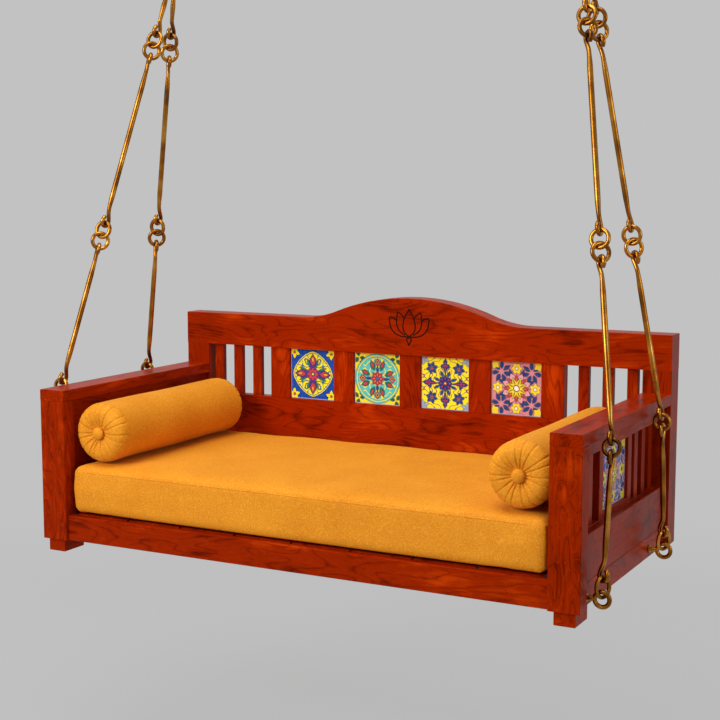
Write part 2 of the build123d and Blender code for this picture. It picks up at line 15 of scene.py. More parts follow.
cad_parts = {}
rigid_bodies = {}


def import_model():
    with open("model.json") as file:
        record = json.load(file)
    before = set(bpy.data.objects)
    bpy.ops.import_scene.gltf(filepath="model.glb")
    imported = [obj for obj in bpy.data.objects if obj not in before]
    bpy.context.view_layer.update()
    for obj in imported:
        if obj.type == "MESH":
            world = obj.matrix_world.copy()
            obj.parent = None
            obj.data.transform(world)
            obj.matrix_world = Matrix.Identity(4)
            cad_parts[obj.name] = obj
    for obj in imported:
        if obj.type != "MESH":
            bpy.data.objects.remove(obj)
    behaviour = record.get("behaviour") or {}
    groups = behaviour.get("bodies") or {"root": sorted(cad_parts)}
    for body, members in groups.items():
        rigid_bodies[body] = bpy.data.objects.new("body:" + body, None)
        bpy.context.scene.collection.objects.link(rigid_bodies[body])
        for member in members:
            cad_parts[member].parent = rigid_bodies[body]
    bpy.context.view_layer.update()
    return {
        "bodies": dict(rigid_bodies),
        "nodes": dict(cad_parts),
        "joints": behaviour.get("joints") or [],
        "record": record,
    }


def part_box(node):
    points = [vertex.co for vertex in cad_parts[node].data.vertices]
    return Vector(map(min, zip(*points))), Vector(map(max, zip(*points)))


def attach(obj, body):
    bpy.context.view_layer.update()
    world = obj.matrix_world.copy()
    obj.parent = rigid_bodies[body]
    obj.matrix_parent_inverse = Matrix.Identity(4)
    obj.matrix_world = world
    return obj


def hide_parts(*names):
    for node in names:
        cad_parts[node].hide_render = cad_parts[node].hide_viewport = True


LOG = logging.getLogger("jhoola")
Thing = bpy.types.Object
Material = bpy.types.Material
Node = bpy.types.Node
Socket = bpy.types.NodeSocket
Feed = Union["Signal", Socket, float, Sequence[float]]
Colour = tuple[float, float, float, float]
Box = tuple[Vector, Vector]


# ---------------------------------------------------------------- small tools

def tint(code: str) -> Colour:
    """A hex colour as linear red, green, blue and alpha.

    Args:
        code: six hex digits.

    Returns:
        The colour as a shader socket takes it.
    """
    parts = [int(code[i:i + 2], 16) / 255 for i in (0, 2, 4)]
    linear = [p / 12.92 if p <= 0.04045 else ((p + 0.055) / 1.055) ** 2.4 for p in parts]
    return (*linear, 1.0)


def smooth_step(value: float, low: float, high: float) -> float:
    """0 below low, 1 above high and a soft rise between."""
    t = min(1.0, max(0.0, (value - low) / (high - low)))
    return t * t * (3 - 2 * t)


def corners(box: Sequence[Sequence[float]]) -> Box:
    """The lowest and highest corners of a box."""
    low, high = box
    return Vector(low), Vector(high)


def handed(side: int, x: float, y: float, z: float) -> Matrix:
    """Where a copy goes on the right (1), or turned round on the left (-1)."""
    return Matrix.Translation((side * x, y, z)) @ Matrix.Rotation(0.0 if side > 0 else pi, 4, "Z")


def pick_only(obj: Thing) -> None:
    """Selects one object, makes it active and deselects the rest.

    Args:
        obj: the object.
    """
    for other in bpy.context.selected_objects:
        other.select_set(False)
    obj.select_set(True)
    bpy.context.view_layer.objects.active = obj


def new_primitive(name: str, add: Callable[..., set], scale: Sequence[float] = (1.0, 1.0, 1.0),
                  **sizes: object) -> Thing:
    """Adds a primitive to start a piece from, with its place, turn and scale in its mesh.

    Args:
        name: the piece's name.
        add: the bpy.ops.mesh operator.
        scale: how far the primitive is stretched along each axis.
        sizes: the operator's own arguments.

    Returns:
        The new object, selected and active.
    """
    add(**sizes)
    obj = bpy.context.active_object
    obj.name = name
    obj.data.name = name
    obj.scale = scale
    bpy.ops.object.transform_apply(location=True, rotation=True, scale=True)
    return obj


def put(name: str, data: bpy.types.ID) -> Thing:
    """Adds an object that shows some mesh, curve, lamp or camera.

    Args:
        name: the object's name.
        data: what it shows.

    Returns:
        The object.
    """
    obj = bpy.data.objects.new(name, data)
    bpy.context.collection.objects.link(obj)
    return obj


def coat(obj: Thing, material: Material) -> None:
    """Gives an object one finish in place of all that it has."""
    obj.data.materials.clear()
    obj.data.materials.append(material)


def worked(obj: Thing, kind: str, **settings: object) -> None:
    """Puts an object through a modifier.

    Args:
        obj: the object.
        kind: the modifier's type.
        settings: its own properties.
    """
    modifier = obj.modifiers.new(kind, kind)
    for name, value in settings.items():
        setattr(modifier, name, value)
    pick_only(obj)
    bpy.ops.object.modifier_apply(modifier=modifier.name)


def mark(obj: Thing, test: Callable[..., bool] = lambda item: True, kind: str = "FACE") -> None:
    """Selects the faces or edges of a mesh that pass a test, and no others, and enters edit mode.

    Args:
        obj: the mesh object.
        test: takes a face, or the two ends of an edge.
        kind: FACE or EDGE.
    """
    pick_only(obj)
    mesh = obj.data
    for item in (*mesh.vertices, *mesh.edges, *mesh.polygons):
        item.select = False
    if kind == "FACE":
        for face in mesh.polygons:
            face.select = test(face)
    else:
        for line in mesh.edges:
            line.select = test(*(mesh.vertices[i].co for i in line.vertices))
    bpy.ops.object.mode_set(mode="EDIT")
    bpy.ops.mesh.select_mode(type=kind)


def leave_edit() -> None:
    """Goes back to object mode."""
    bpy.ops.object.mode_set(mode="OBJECT")


def ease_edges(obj: Thing, offset: float, test: Callable[..., bool] = lambda face: True, segments: int = 3) -> None:
    """Rounds the edges of some faces.

    Args:
        obj: the mesh object.
        offset: how far the rounding reaches.
        test: takes a face.
        segments: how many faces make the rounding.
    """
    mark(obj, test)
    bpy.ops.mesh.bevel(offset=offset, segments=segments, affect="EDGES")
    leave_edit()


def join(name: str, pieces: list[Thing]) -> Thing:
    """Joins mesh objects into one.

    Args:
        name: the joined piece's name.
        pieces: the objects, the first of which stays.

    Returns:
        The joined object.
    """
    pick_only(pieces[0])
    for piece in pieces[1:]:
        piece.select_set(True)
    bpy.ops.object.join()
    pieces[0].name = name
    return pieces[0]


def stamped(name: str, pattern: Thing, places: Sequence[Matrix]) -> Thing:
    """One piece made of a pattern's copies, each with its own mesh.

    Args:
        name: the new piece's name.
        pattern: the shape modelled once at the origin, which is removed.
        places: where each copy goes.

    Returns:
        The joined copies.
    """
    copies = [put(name, pattern.data.copy()) for _ in places]
    for copy, place in zip(copies, places):
        copy.data.transform(place)
    bpy.data.objects.remove(pattern)
    return join(name, copies)


def wire_piece(name: str, paths: list[list[Vector]], radius: float, closed: bool = False) -> Thing:
    """A mesh of round wire along smooth lines.

    Args:
        name: the piece's name.
        paths: the control points of each line.
        radius: the wire's radius.
        closed: whether each line closes on itself.

    Returns:
        The new mesh object.
    """
    curve = bpy.data.curves.new(name, "CURVE")
    curve.dimensions = "3D"
    curve.bevel_depth = radius
    curve.bevel_resolution = 3
    curve.resolution_u = 8
    curve.use_fill_caps = True
    for path in paths:
        spline = curve.splines.new("NURBS")
        spline.points.add(len(path) - 1)
        for point, place in zip(spline.points, path):
            point.co = (*place, 1.0)
        spline.order_u = 3
        spline.use_endpoint_u = not closed
        spline.use_cyclic_u = closed
    pick_only(put(name, curve))
    bpy.ops.object.convert(target="MESH")
    obj = bpy.context.active_object
    bpy.ops.object.shade_smooth()
    return obj


# ---------------------------------------------------------------- shader nodes

@dataclass(frozen=True)
class Signal:
    """A number on its way through the shader nodes, which arithmetic turns into Math nodes."""

    desk: NodeDesk
    socket: Socket

    def __add__(self, other: Feed) -> Signal:
        """This number plus another."""
        return self.desk.math("ADD", self, other)

    def __sub__(self, other: Feed) -> Signal:
        """This number less another."""
        return self.desk.math("SUBTRACT", self, other)

    def __rsub__(self, other: Feed) -> Signal:
        """Another number less this one."""
        return self.desk.math("SUBTRACT", other, self)

    def __mul__(self, other: Feed) -> Signal:
        """This number times another."""
        return self.desk.math("MULTIPLY", self, other)

    def __truediv__(self, other: Feed) -> Signal:
        """This number over another."""
        return self.desk.math("DIVIDE", self, other)


@dataclass(frozen=True)
class NodeDesk:
    """Adds and links the nodes of one material, or of one node group, which has an input node."""

    tree: bpy.types.NodeTree
    given: Node | None = None

    def take(self, name: str) -> Signal:
        """A value that the node group is given."""
        return self.signal(self.given.outputs[name])

    def fill(self, node: Node, feeds: dict[object, Feed]) -> None:
        """Links or sets a node's inputs.

        Args:
            node: the node.
            feeds: what goes into its inputs, by name or index.
        """
        for key, value in feeds.items():
            value = value.socket if isinstance(value, Signal) else value
            if isinstance(value, Socket):
                self.tree.links.new(value, node.inputs[key])
            else:
                node.inputs[key].default_value = value

    def add(self, kind: str, feeds: dict[object, Feed] | None = None, **settings: object) -> Node:
        """Adds a node.

        Args:
            kind: the node's Blender type, without its first words.
            feeds: what goes into its inputs, by name or index.
            settings: its own properties.

        Returns:
            The node.
        """
        node = self.tree.nodes.new(f"ShaderNode{kind}")
        for name, value in settings.items():
            setattr(node, name, value)
        self.fill(node, feeds or {})
        return node

    def signal(self, socket: Socket) -> Signal:
        """A socket as a number to reckon with."""
        return Signal(self, socket)

    def math(self, operation: str, first: Feed, second: Feed = 0.0) -> Signal:
        """A number made from one or two others by a Math node."""
        return self.signal(self.add("Math", {0: first, 1: second}, operation=operation).outputs[0])

    def vector(self, operation: str, first: Feed, second: Feed = (0.0, 0.0, 0.0)) -> Socket:
        """A vector made from one or two others by a Vector Math node."""
        return self.add("VectorMath", {0: first, 1: second}, operation=operation).outputs[0]

    def length(self, vector: Feed) -> Signal:
        """The length of a vector."""
        return self.signal(self.add("VectorMath", {0: vector}, operation="LENGTH").outputs["Value"])

    def split(self, vector: Feed) -> list[Signal]:
        """The three parts of a vector."""
        return [self.signal(part) for part in self.add("SeparateXYZ", {0: vector}).outputs]

    def spread(self, value: Feed, low: float, high: float) -> Signal:
        """A number brought softly to 0..1 between two limits."""
        feeds = {"Value": value, "From Min": low, "From Max": high}
        return self.signal(self.add("MapRange", feeds, interpolation_type="SMOOTHSTEP").outputs[0])

    def noise(self, vector: Feed, scale: float, detail: float = 2.0, roughness: float = 0.5) -> Signal:
        """A noise value at a scale."""
        feeds = {"Vector": vector, "Scale": scale, "Detail": detail, "Roughness": roughness}
        return self.signal(self.add("TexNoise", feeds).outputs["Fac"])

    def streaks(self, vector: Feed, scales: Sequence[float], detail: float, roughness: float = 0.5) -> Signal:
        """A noise value with its own scale along each axis."""
        return self.noise(self.vector("MULTIPLY", vector, scales), 1.0, detail, roughness)

    def moved(self, place: Feed, source: Feed, scale: float, detail: float, reach: Sequence[float]) -> Socket:
        """A place pushed about by noise.

        Args:
            place: the place.
            source: the vector that the noise is read at.
            scale: the noise's scale.
            detail: the noise's detail.
            reach: how far the noise pushes along each axis.

        Returns:
            The moved place.
        """
        push = self.add("TexNoise", {"Vector": source, "Scale": scale, "Detail": detail}).outputs["Color"]
        push = self.vector("MULTIPLY", self.vector("SUBTRACT", push, (0.5, 0.5, 0.5)), reach)
        return self.vector("ADD", place, push)

    def blend(self, share: Feed, under: Feed, over: Feed) -> Socket:
        """A colour between two, by a share from 0 to 1."""
        return self.add("Mix", {0: share, 6: under, 7: over}, data_type="RGBA").outputs[2]

    def ramp(self, value: Feed, stops: Sequence[tuple[float, str]]) -> Socket:
        """A colour looked up along hex stops.

        Args:
            value: the place along the ramp.
            stops: pairs of place and hex colour, in order.

        Returns:
            The colour.
        """
        node = self.add("ValToRGB", {0: value})
        elements = node.color_ramp.elements
        while len(elements) < len(stops):
            elements.new(0.5)
        for element, (place, code) in zip(elements, stops):
            element.position = place
            element.color = tint(code)
        return node.outputs[0]

    def contour(self, value: Signal, lines: float) -> Signal:
        """0 at the middle of each band of a value and 1 at its edges, as on a map of heights."""
        return self.math("ABSOLUTE", self.math("FRACT", value * lines) * 2.0 - 1.0)

    def place(self) -> Socket:
        """The place on the object."""
        return self.add("TexCoord").outputs["Object"]

    def grouped(self, name: str, feeds: dict[str, Feed],
                lay: Callable[[NodeDesk], dict[str, Feed]]) -> dict[str, Signal]:
        """Adds a shared node group, which is laid the first time that it is asked for.

        Args:
            name: the group's name.
            feeds: what goes into its inputs.
            lay: lays its nodes and returns what goes to its outputs.

        Returns:
            Its outputs.
        """
        group = bpy.data.node_groups.get(name)
        if not group:
            group = bpy.data.node_groups.new(name, "ShaderNodeTree")
            for label, feed in feeds.items():
                kind = "NodeSocketFloat" if isinstance(feed, float) else "NodeSocketVector"
                group.interface.new_socket(name=label, in_out="INPUT", socket_type=kind)
            desk = NodeDesk(group, group.nodes.new("NodeGroupInput"))
            laid = lay(desk)
            for label in laid:
                kind = "NodeSocketColor" if label == "Color" else "NodeSocketFloat"
                group.interface.new_socket(name=label, in_out="OUTPUT", socket_type=kind)
            desk.fill(group.nodes.new("NodeGroupOutput"), laid)
        return {out.name: self.signal(out) for out in self.add("Group", feeds, node_tree=group).outputs}

    def bump(self, shader: Node, height: Feed, strength: float, distance: float) -> None:
        """Feeds a height to a shader's normal, where distance is the height of 1 in metres."""
        node = self.add("Bump", {"Height": height, "Strength": strength, "Distance": distance})
        self.fill(shader, {"Normal": node.outputs[0]})


def new_material(name: str) -> tuple[Material, NodeDesk, Node]:
    """A material with its Principled shader.

    Args:
        name: the material's name.

    Returns:
        The material, its desk and its shader node.
    """
    material = bpy.data.materials.new(name)
    material.use_nodes = True
    return material, NodeDesk(material.node_tree), material.node_tree.nodes["Principled BSDF"]


# ---------------------------------------------------------------- finishes

class Grain(Enum):
    """Which way a board's grain runs, as the turn that brings it to X."""

    ALONG_X = (0.0, 0.0, 0.0)
    ALONG_Y = (0.0, 0.0, -pi / 2)
    ALONG_Z = (0.0, pi / 2, 0.0)


@dataclass(frozen=True)
class Timber:
    """Polished red hardwood with dark flame grain."""

    shadow: str = "240300"
    dark: str = "560D00"
    mid: str = "962300"
    light: str = "BE3A03"
    shine: str = "E07040"

    def lay_figure(self, desk: NodeDesk) -> dict[str, Feed]:
        """Lays the node group of the grain, which runs along X.

        Args:
            desk: the group's desk.

        Returns:
            What goes to its outputs.
        """
        place, flame = desk.take("Vector"), desk.take("Flame")
        slow = desk.vector("MULTIPLY", place, (3.0, 13.0, 13.0))
        bent = desk.moved(place, slow, 1.0, 2.0, (0.10, 0.026, 0.026))
        band = desk.contour(desk.streaks(bent, (2.8, 13.0, 13.0), 1.6, 0.45), 15.0)
        vein = desk.spread(band, 0.80, 1.0)
        cloud = desk.streaks(bent, (4.5, 15.0, 15.0), 3.0, 0.6)
        fibre = desk.streaks(bent, (14.0, 300.0, 300.0), 2.0, 0.6)
        pore = desk.spread(desk.streaks(place, (60.0, 480.0, 480.0), 1.0), 0.66, 0.78)
        tone = cloud * 0.80 + fibre * 0.20 - band * 0.07
        wood = desk.ramp(tone, [(0.26, self.dark), (0.42, self.mid), (0.52, self.mid), (0.66, self.light)])
        wood = desk.blend(vein * 0.46, wood, tint(self.dark))
        scale = desk.streaks(bent, (15.0, 40.0, 40.0), 1.0, 0.4)
        line = desk.spread(desk.contour(scale, 5.0), 0.80, 0.97)
        hollow = desk.spread(desk.contour(scale, 2.5), 0.35, 0.95)
        wood = desk.blend(hollow * flame * 0.8, wood, tint(self.dark))
        wood = desk.blend(line * flame, wood, tint(self.light))
        wood = desk.blend(pore * 0.6, wood, tint(self.shadow))
        return {"Color": wood, "Roughness": cloud * 0.16 + 0.24, "Height": fibre * 0.5 - (vein + pore)}

    def material(self, name: str, grain: Grain, shift: Sequence[float], flame: float = 0.0) -> Material:
        """The finish for one board.

        Args:
            name: the material's name.
            grain: which way the grain runs.
            shift: which part of the tree the board is cut from.
            flame: how strongly the pale flame figure shows.

        Returns:
            The material.
        """
        material, desk, shader = new_material(name)
        turned = desk.add("Mapping", {"Vector": desk.place(), "Location": shift, "Rotation": grain.value})
        wood = desk.grouped("timber_figure", {"Vector": turned.outputs[0], "Flame": flame}, self.lay_figure)
        desk.fill(shader, {"Base Color": wood["Color"], "Roughness": wood["Roughness"],
                           "Specular IOR Level": 0.07, "Specular Tint": tint(self.shine)})
        desk.bump(shader, wood["Height"], 0.35, 0.0003)
        return material


@dataclass(frozen=True)
class Plywood:
    """Plain unpolished board, streaked along Z."""

    dark: str = "8A5C32"
    mid: str = "B08350"
    light: str = "C79E6C"

    def material(self, name: str, run: float) -> Material:
        """The finish for one board.

        Args:
            name: the material's name.
            run: how fast the streaks change along Z.

        Returns:
            The material.
        """
        material, desk, shader = new_material(name)
        streak = desk.streaks(desk.place(), (160.0, 160.0, run), 3.0)
        colour = desk.ramp(streak, [(0.3, self.dark), (0.5, self.mid), (0.7, self.light)])
        desk.fill(shader, {"Base Color": colour, "Roughness": 0.8})
        desk.bump(shader, streak, 0.3, 0.0004)
        return material


@dataclass(frozen=True)
class BlackLine:
    """The near-black colour of the line laid along the lotus outline."""

    black: str = "070201"
    brown: str = "180602"

    def material(self, name: str) -> Material:
        """The finish for the engraving.

        Args:
            name: the material's name.

        Returns:
            The material.
        """
        material, desk, shader = new_material(name)
        # near-black to dark brown by noise, one flat colour along the outline's line
        blackness = desk.ramp(desk.noise(desk.place(), 300.0), [(0.35, self.black), (0.7, self.brown)])
        desk.fill(shader, {"Base Color": blackness, "Roughness": 0.8, "Specular IOR Level": 0.1})
        return material


@dataclass(frozen=True)
class Brass:
    """Hand-worked brass, bright where it is rubbed and brown where it isn't."""

    brown: str = "54300F"
    mid: str = "9A621E"
    bright: str = "D0963F"

    def lay_patina(self, desk: NodeDesk) -> dict[str, Feed]:
        """Lays the node group of the aged surface.

        Args:
            desk: the group's desk.

        Returns:
            What goes to its outputs.
        """
        cloud, fine = (desk.noise(desk.take("Vector"), scale, 1.0) for scale in (18.0, 90.0))
        tone = cloud * 0.85 + fine * 0.15
        metal = desk.ramp(tone, [(0.26, self.brown), (0.50, self.mid), (0.78, self.bright)])
        return {"Color": metal, "Roughness": 0.40 - tone * 0.26, "Height": cloud + fine * 0.10}

    def material(self, name: str) -> Material:
        """The finish for all the brass.

        Args:
            name: the material's name.

        Returns:
            The material.
        """
        material, desk, shader = new_material(name)
        metal = desk.grouped("brass_patina", {"Vector": desk.place()}, self.lay_patina)
        desk.fill(shader, {"Base Color": metal["Color"], "Roughness": metal["Roughness"], "Metallic": 1.0})
        desk.bump(shader, metal["Height"], 0.10, 0.0003)
        return material


@dataclass(frozen=True)
class Brocade:
    """Golden mustard cloth with a winding tone-on-tone weave."""

    low: str = "BA6806"
    mid: str = "DE8A13"
    high: str = "F4A92F"
    sheen: str = "F6C870"
    thread: float = 0.0016

    def lay_weave(self, desk: NodeDesk) -> dict[str, Feed]:
        """Lays the node group of the cloth, whose threads run across each face and not through it.

        Args:
            desk: the group's desk.

        Returns:
            What goes to its outputs.
        """
        place = desk.take("Vector")
        raised = desk.spread(desk.contour(desk.noise(place, 80.0, 1.0, 0.4), 6.0), 0.40, 0.80)
        turns = desk.split(desk.vector("MULTIPLY", place, (2 * pi / self.thread,) * 3))
        facing = desk.split(desk.vector("ABSOLUTE", desk.take("Normal")))
        threads = [desk.math("SINE", turn) * (1.0 - flat) for turn, flat in zip(turns, facing)]
        weave = (threads[0] + threads[1] + threads[2]) * 0.16 + 0.5
        tone = raised * 0.09 + weave * 0.17 + desk.noise(place, 9.0, 2.0) * 0.14
        cloth = desk.ramp(tone, [(0.00, self.low), (0.18, self.mid), (0.36, self.high)])
        return {"Color": cloth, "Height": raised * 0.8 + weave * 0.5}

    def material(self, name: str) -> Material:
        """The finish for the covers.

        Args:
            name: the material's name.

        Returns:
            The material.
        """
        material, desk, shader = new_material(name)
        source = desk.add("TexCoord").outputs
        feeds = {"Vector": source["Object"], "Normal": source["Normal"]}
        cloth = desk.grouped("brocade_weave", feeds, self.lay_weave)
        desk.fill(shader, {"Base Color": cloth["Color"], "Roughness": 0.7, "Specular IOR Level": 0.2,
                           "Sheen Weight": 0.16, "Sheen Roughness": 0.4, "Sheen Tint": tint(self.sheen)})
        desk.bump(shader, cloth["Height"], 0.3, 0.0005)
        return material


# ---------------------------------------------------------------- painted tiles

Masks = tuple[Signal, Signal]


def brushed(desk: NodeDesk, inside: Signal) -> Masks:
    """Where a motif is painted, and the same with its outline, from how deep inside it a place is."""
    return desk.spread(inside, 0.0, 0.014), desk.spread(inside, -0.024, -0.012)


class Fold(Enum):
    """Where on a tile a motif repeats."""

    CENTRE = "once, in the middle"
    SIDES = "at the middle of each side"
    CORNERS = "in each corner"


@dataclass(frozen=True)
class Petals:
    """A ring of petals, leaves or rays. Sizes are shares of half a tile."""

    colour: str
    count: int
    inner: float
    outer: float
    width: float
    lean: float = 1.0
    turn: float = 0.0
    fold: Fold = Fold.CENTRE
    reach: float = 0.0

    def mask(self, desk: NodeDesk, folded: Socket) -> Masks:
        """Where the petals are painted, and the same with their outline.

        Args:
            desk: the material's desk.
            folded: the place, seen from the middle of the ring.

        Returns:
            The two masks.
        """
        feeds = {"Vector": folded, "Count": float(self.count), "Inner": self.inner, "Outer": self.outer,
                 "Width": self.width, "Lean": self.lean, "Turn": radians(self.turn)}
        ring = desk.grouped("petal_ring", feeds, self.lay_petals)
        return ring["Mask"], ring["Outline"]

    @staticmethod
    def lay_petals(desk: NodeDesk) -> dict[str, Feed]:
        """Lays the node group of a ring of petals.

        Args:
            desk: the group's desk.

        Returns:
            What goes to its outputs.
        """
        across, up, _ = desk.split(desk.take("Vector"))
        inner = desk.take("Inner")
        radius = desk.math("SQRT", across * across + up * up)
        step = desk.math("DIVIDE", 2 * pi, desk.take("Count"))
        turns = desk.math("FRACT", (desk.math("ARCTAN2", up, across) + desk.take("Turn")) / step + 20.5)
        off = (turns - 0.5) * step
        beside = desk.math("ABSOLUTE", radius * desk.math("SINE", off))
        place = (radius * desk.math("COSINE", off) - inner) / (desk.take("Outer") - inner)
        share = desk.math("MINIMUM", desk.math("MAXIMUM", place, 0.0), 1.0)
        bulge = desk.math("SINE", desk.math("POWER", share, desk.take("Lean")) * pi)
        paint, outline = brushed(desk, bulge * desk.take("Width") - beside)
        ends = desk.spread(place, -0.05, 0.0) * desk.spread(1.0 - place, -0.05, 0.0)
        return {"Mask": paint, "Outline": outline * ends}


@dataclass(frozen=True)
class Disc:
    """A spot, or a band where it has an inner size. Its power makes it round at 2 and a diamond at 1."""

    colour: str
    outer: float
    inner: float = 0.0
    power: float = 2.0
    fold: Fold = Fold.CENTRE
    reach: float = 0.0

    def mask(self, desk: NodeDesk, folded: Socket) -> Masks:
        """Where the spot is painted, and the same with its outline.

        Args:
            desk: the material's desk.
            folded: the place, seen from the middle of the spot.

        Returns:
            The two masks.
        """
        across, up, _ = desk.split(desk.vector("ABSOLUTE", folded))
        total = desk.math("POWER", across, self.power) + desk.math("POWER", up, self.power)
        size = desk.math("POWER", total, 1 / self.power)
        inside, outline = brushed(desk, self.outer - size)
        if not self.inner:
            return inside, outline
        band = inside * desk.spread(size - self.inner, 0.0, 0.014)
        return band, band


@dataclass(frozen=True)
class Scrolls:
    """Winding stems that fill a ground, the same in all four quarters."""

    colour: str
    scale: float
    width: float
    seed: float
    within: float = 2.0
    beyond: float = 0.0
    fold: Fold = Fold.CENTRE
    reach: float = 0.0

    def mask(self, desk: NodeDesk, folded: Socket) -> Masks:
        """Where the stems are painted, twice, for they have no outline.

        Args:
            desk: the material's desk.
            folded: the place on the tile.

        Returns:
            The mask, twice.
        """
        quarter = desk.vector("ADD", desk.vector("ABSOLUTE", folded), (self.seed, self.seed * 2, self.seed * 3))
        winding = desk.contour(desk.noise(quarter, self.scale, 0.0), 4.0)
        line = desk.spread(winding, 1.0 - self.width, 1.0 - self.width * 0.6)
        radius = desk.length(folded)
        stems = line * desk.spread(self.within - radius, 0.0, 0.03) * desk.spread(radius - self.beyond, -0.01, 0.02)
        return stems, stems


Motif = Union[Petals, Disc, Scrolls]


@dataclass(frozen=True)
class PaintedTile:
    """A glazed tile with a traditional flower design painted in layers."""

    ground: str
    motifs: tuple[Motif, ...]
    rim: str = "C3BFD2"
    outline: str = "1E2440"
    chalk: str = "FFFFFF"

    def material(self, name: str, space: Box, across: int, turn: Sequence[float]) -> Material:
        """The painted and glazed finish of one tile.

        Args:
            name: the material's name.
            space: the tile's lowest and highest corners.
            across: the axis of its width, 0 for X and 1 for Y.
            turn: the turn that lays the face flat, seen from its front.

        Returns:
            The material.
        """
        size, middle = space[1] - space[0], (space[0] + space[1]) / 2
        material, desk, shader = new_material(name)
        centred = desk.vector("SUBTRACT", desk.place(), tuple(middle))
        flat = desk.add("Mapping", {"Vector": centred, "Rotation": turn}).outputs[0]
        face = desk.vector("MULTIPLY", flat, (2 / size[across], 2 / size.z, 0.0))
        drawn = desk.moved(face, face, 5.0, 1.0, (0.045, 0.045, 0.0))
        paint: Feed = tint(self.ground)
        relief: Feed = 0.0
        for motif in self.motifs:
            mask, outline = motif.mask(desk, self.folded(desk, drawn, motif))
            paint = desk.blend(outline * 0.7, paint, tint(self.outline))
            paint = desk.blend(mask, paint, tint(motif.colour))
            relief = desk.math("MAXIMUM", relief, mask)
        beside, above, _ = desk.split(desk.vector("ABSOLUTE", face))
        rim = desk.spread(desk.math("MAXIMUM", beside, above), 0.955, 0.985)
        paint = desk.blend(rim, paint, tint(self.rim))
        wash = desk.noise(face, 9.0, 3.0, 0.6)
        paint = desk.blend(desk.spread(wash, 0.5, 0.9) * 0.12, paint, tint(self.chalk))
        desk.fill(shader, {"Base Color": paint, "Roughness": 0.14, "Specular IOR Level": 0.2})
        desk.bump(shader, relief * 0.6 + wash * 0.5, 0.25, 0.0004)
        return material

    @staticmethod
    def folded(desk: NodeDesk, face: Socket, motif: Motif) -> Socket:
        """The place on the tile, as seen from the middle of the motif's nearest repeat.

        Args:
            desk: the material's desk.
            face: the place on the tile, -1 to 1 each way.
            motif: the motif, which holds how it repeats.

        Returns:
            The folded place.
        """
        if motif.fold is Fold.CENTRE:
            return face
        quarter = desk.vector("ABSOLUTE", face)
        if motif.fold is Fold.CORNERS:
            return desk.vector("SUBTRACT", quarter, (motif.reach, motif.reach, 0.0))
        across, up, _ = desk.split(quarter)
        out = desk.math("MAXIMUM", across, up) - motif.reach
        return desk.add("CombineXYZ", {0: out, 1: desk.math("MINIMUM", across, up)}).outputs[0]


BLUE_MEDALLION = PaintedTile("0F4CB0", (
    Petals("F4EA1C", 5, 0.02, 0.26, 0.075, 0.8, 18, Fold.CORNERS, 0.84),
    Disc("C8404A", 0.05, fold=Fold.CORNERS, reach=0.84),
    Disc("F4EA1C", 0.90, 0.0, 1.55),
    Disc("1248A0", 0.86, 0.82, 1.55),
    Scrolls("2C6E8E", 3.4, 0.34, 1.7, 0.80, 0.22),
    Petals("2F7A6A", 8, 0.22, 0.66, 0.07, 1.2, 22.5),
    Petals("4A3A8C", 4, 0.24, 0.80, 0.17, 0.8),
    Petals("C8404A", 4, 0.34, 0.76, 0.12, 0.8),
    Petals("E8A83C", 4, 0.46, 0.70, 0.05, 0.9),
    Petals("6A3C96", 8, 0.05, 0.36, 0.085, 0.8, 22.5),
    Petals("C8404A", 8, 0.04, 0.27, 0.07, 0.8),
    Disc("2C7FA0", 0.085),
    Disc("F4EA1C", 0.045),
))
TURQUOISE_WHEEL = PaintedTile("EEE626", (
    Petals("2E5A52", 3, 0.03, 0.30, 0.075, 0.9, 45, Fold.CORNERS, 0.80),
    Petals("1F6F80", 4, 0.0, 0.17, 0.05, 1.0, 0, Fold.CORNERS, 0.62),
    Disc("58C6C4", 0.96, 0.0, 2.0),
    Disc("EEE626", 0.91, 0.86, 2.0),
    Disc("2E7F7C", 0.86, 0.84, 2.0),
    Scrolls("EEE626", 3.1, 0.26, 4.2, 0.82, 0.2),
    Petals("2C6A5A", 8, 0.34, 0.76, 0.10, 0.9, 22.5),
    Petals("C8404A", 8, 0.46, 0.70, 0.06, 0.9, 22.5),
    Disc("C8404A", 0.15, 0.0, 1.1, Fold.SIDES, 0.64),
    Disc("F4EA1C", 0.085, 0.0, 1.1, Fold.SIDES, 0.64),
    Disc("33418E", 0.05, 0.0, 1.1, Fold.SIDES, 0.64),
    Petals("33418E", 4, 0.20, 0.52, 0.055, 1.0),
    Petals("C02F3C", 8, 0.04, 0.31, 0.10, 0.75),
    Petals("E86A4A", 8, 0.08, 0.22, 0.04, 0.9),
    Disc("2F6F9C", 0.07),
))
YELLOW_GARDEN = PaintedTile("F8EE20", (
    Scrolls("8C2F66", 2.9, 0.20, 7.9, 1.3, 0.25),
    Petals("2B3E8C", 6, 0.06, 0.26, 0.075, 0.7, 15, Fold.CORNERS, 0.56),
    Disc("B23C62", 0.06, fold=Fold.CORNERS, reach=0.56),
    Petals("9CB9D8", 5, 0.0, 0.24, 0.06, 1.0, 9, Fold.CORNERS, 0.90),
    Petals("2B3E8C", 4, 0.26, 0.95, 0.085, 1.25),
    Petals("A8386E", 4, 0.30, 0.90, 0.035, 1.25),
    Petals("2B3E8C", 3, 0.03, 0.22, 0.085, 0.8, 0, Fold.SIDES, 0.70),
    Petals("B23C62", 3, 0.03, 0.13, 0.04, 0.8, 0, Fold.SIDES, 0.70),
    Petals("2B3E8C", 8, 0.22, 0.52, 0.055, 1.0, 22.5),
    Petals("25367E", 8, 0.03, 0.32, 0.12, 0.7),
    Petals("C83A48", 8, 0.14, 0.24, 0.03, 1.0),
    Disc("C83A48", 0.08),
    Disc("F8EE20", 0.04),
))
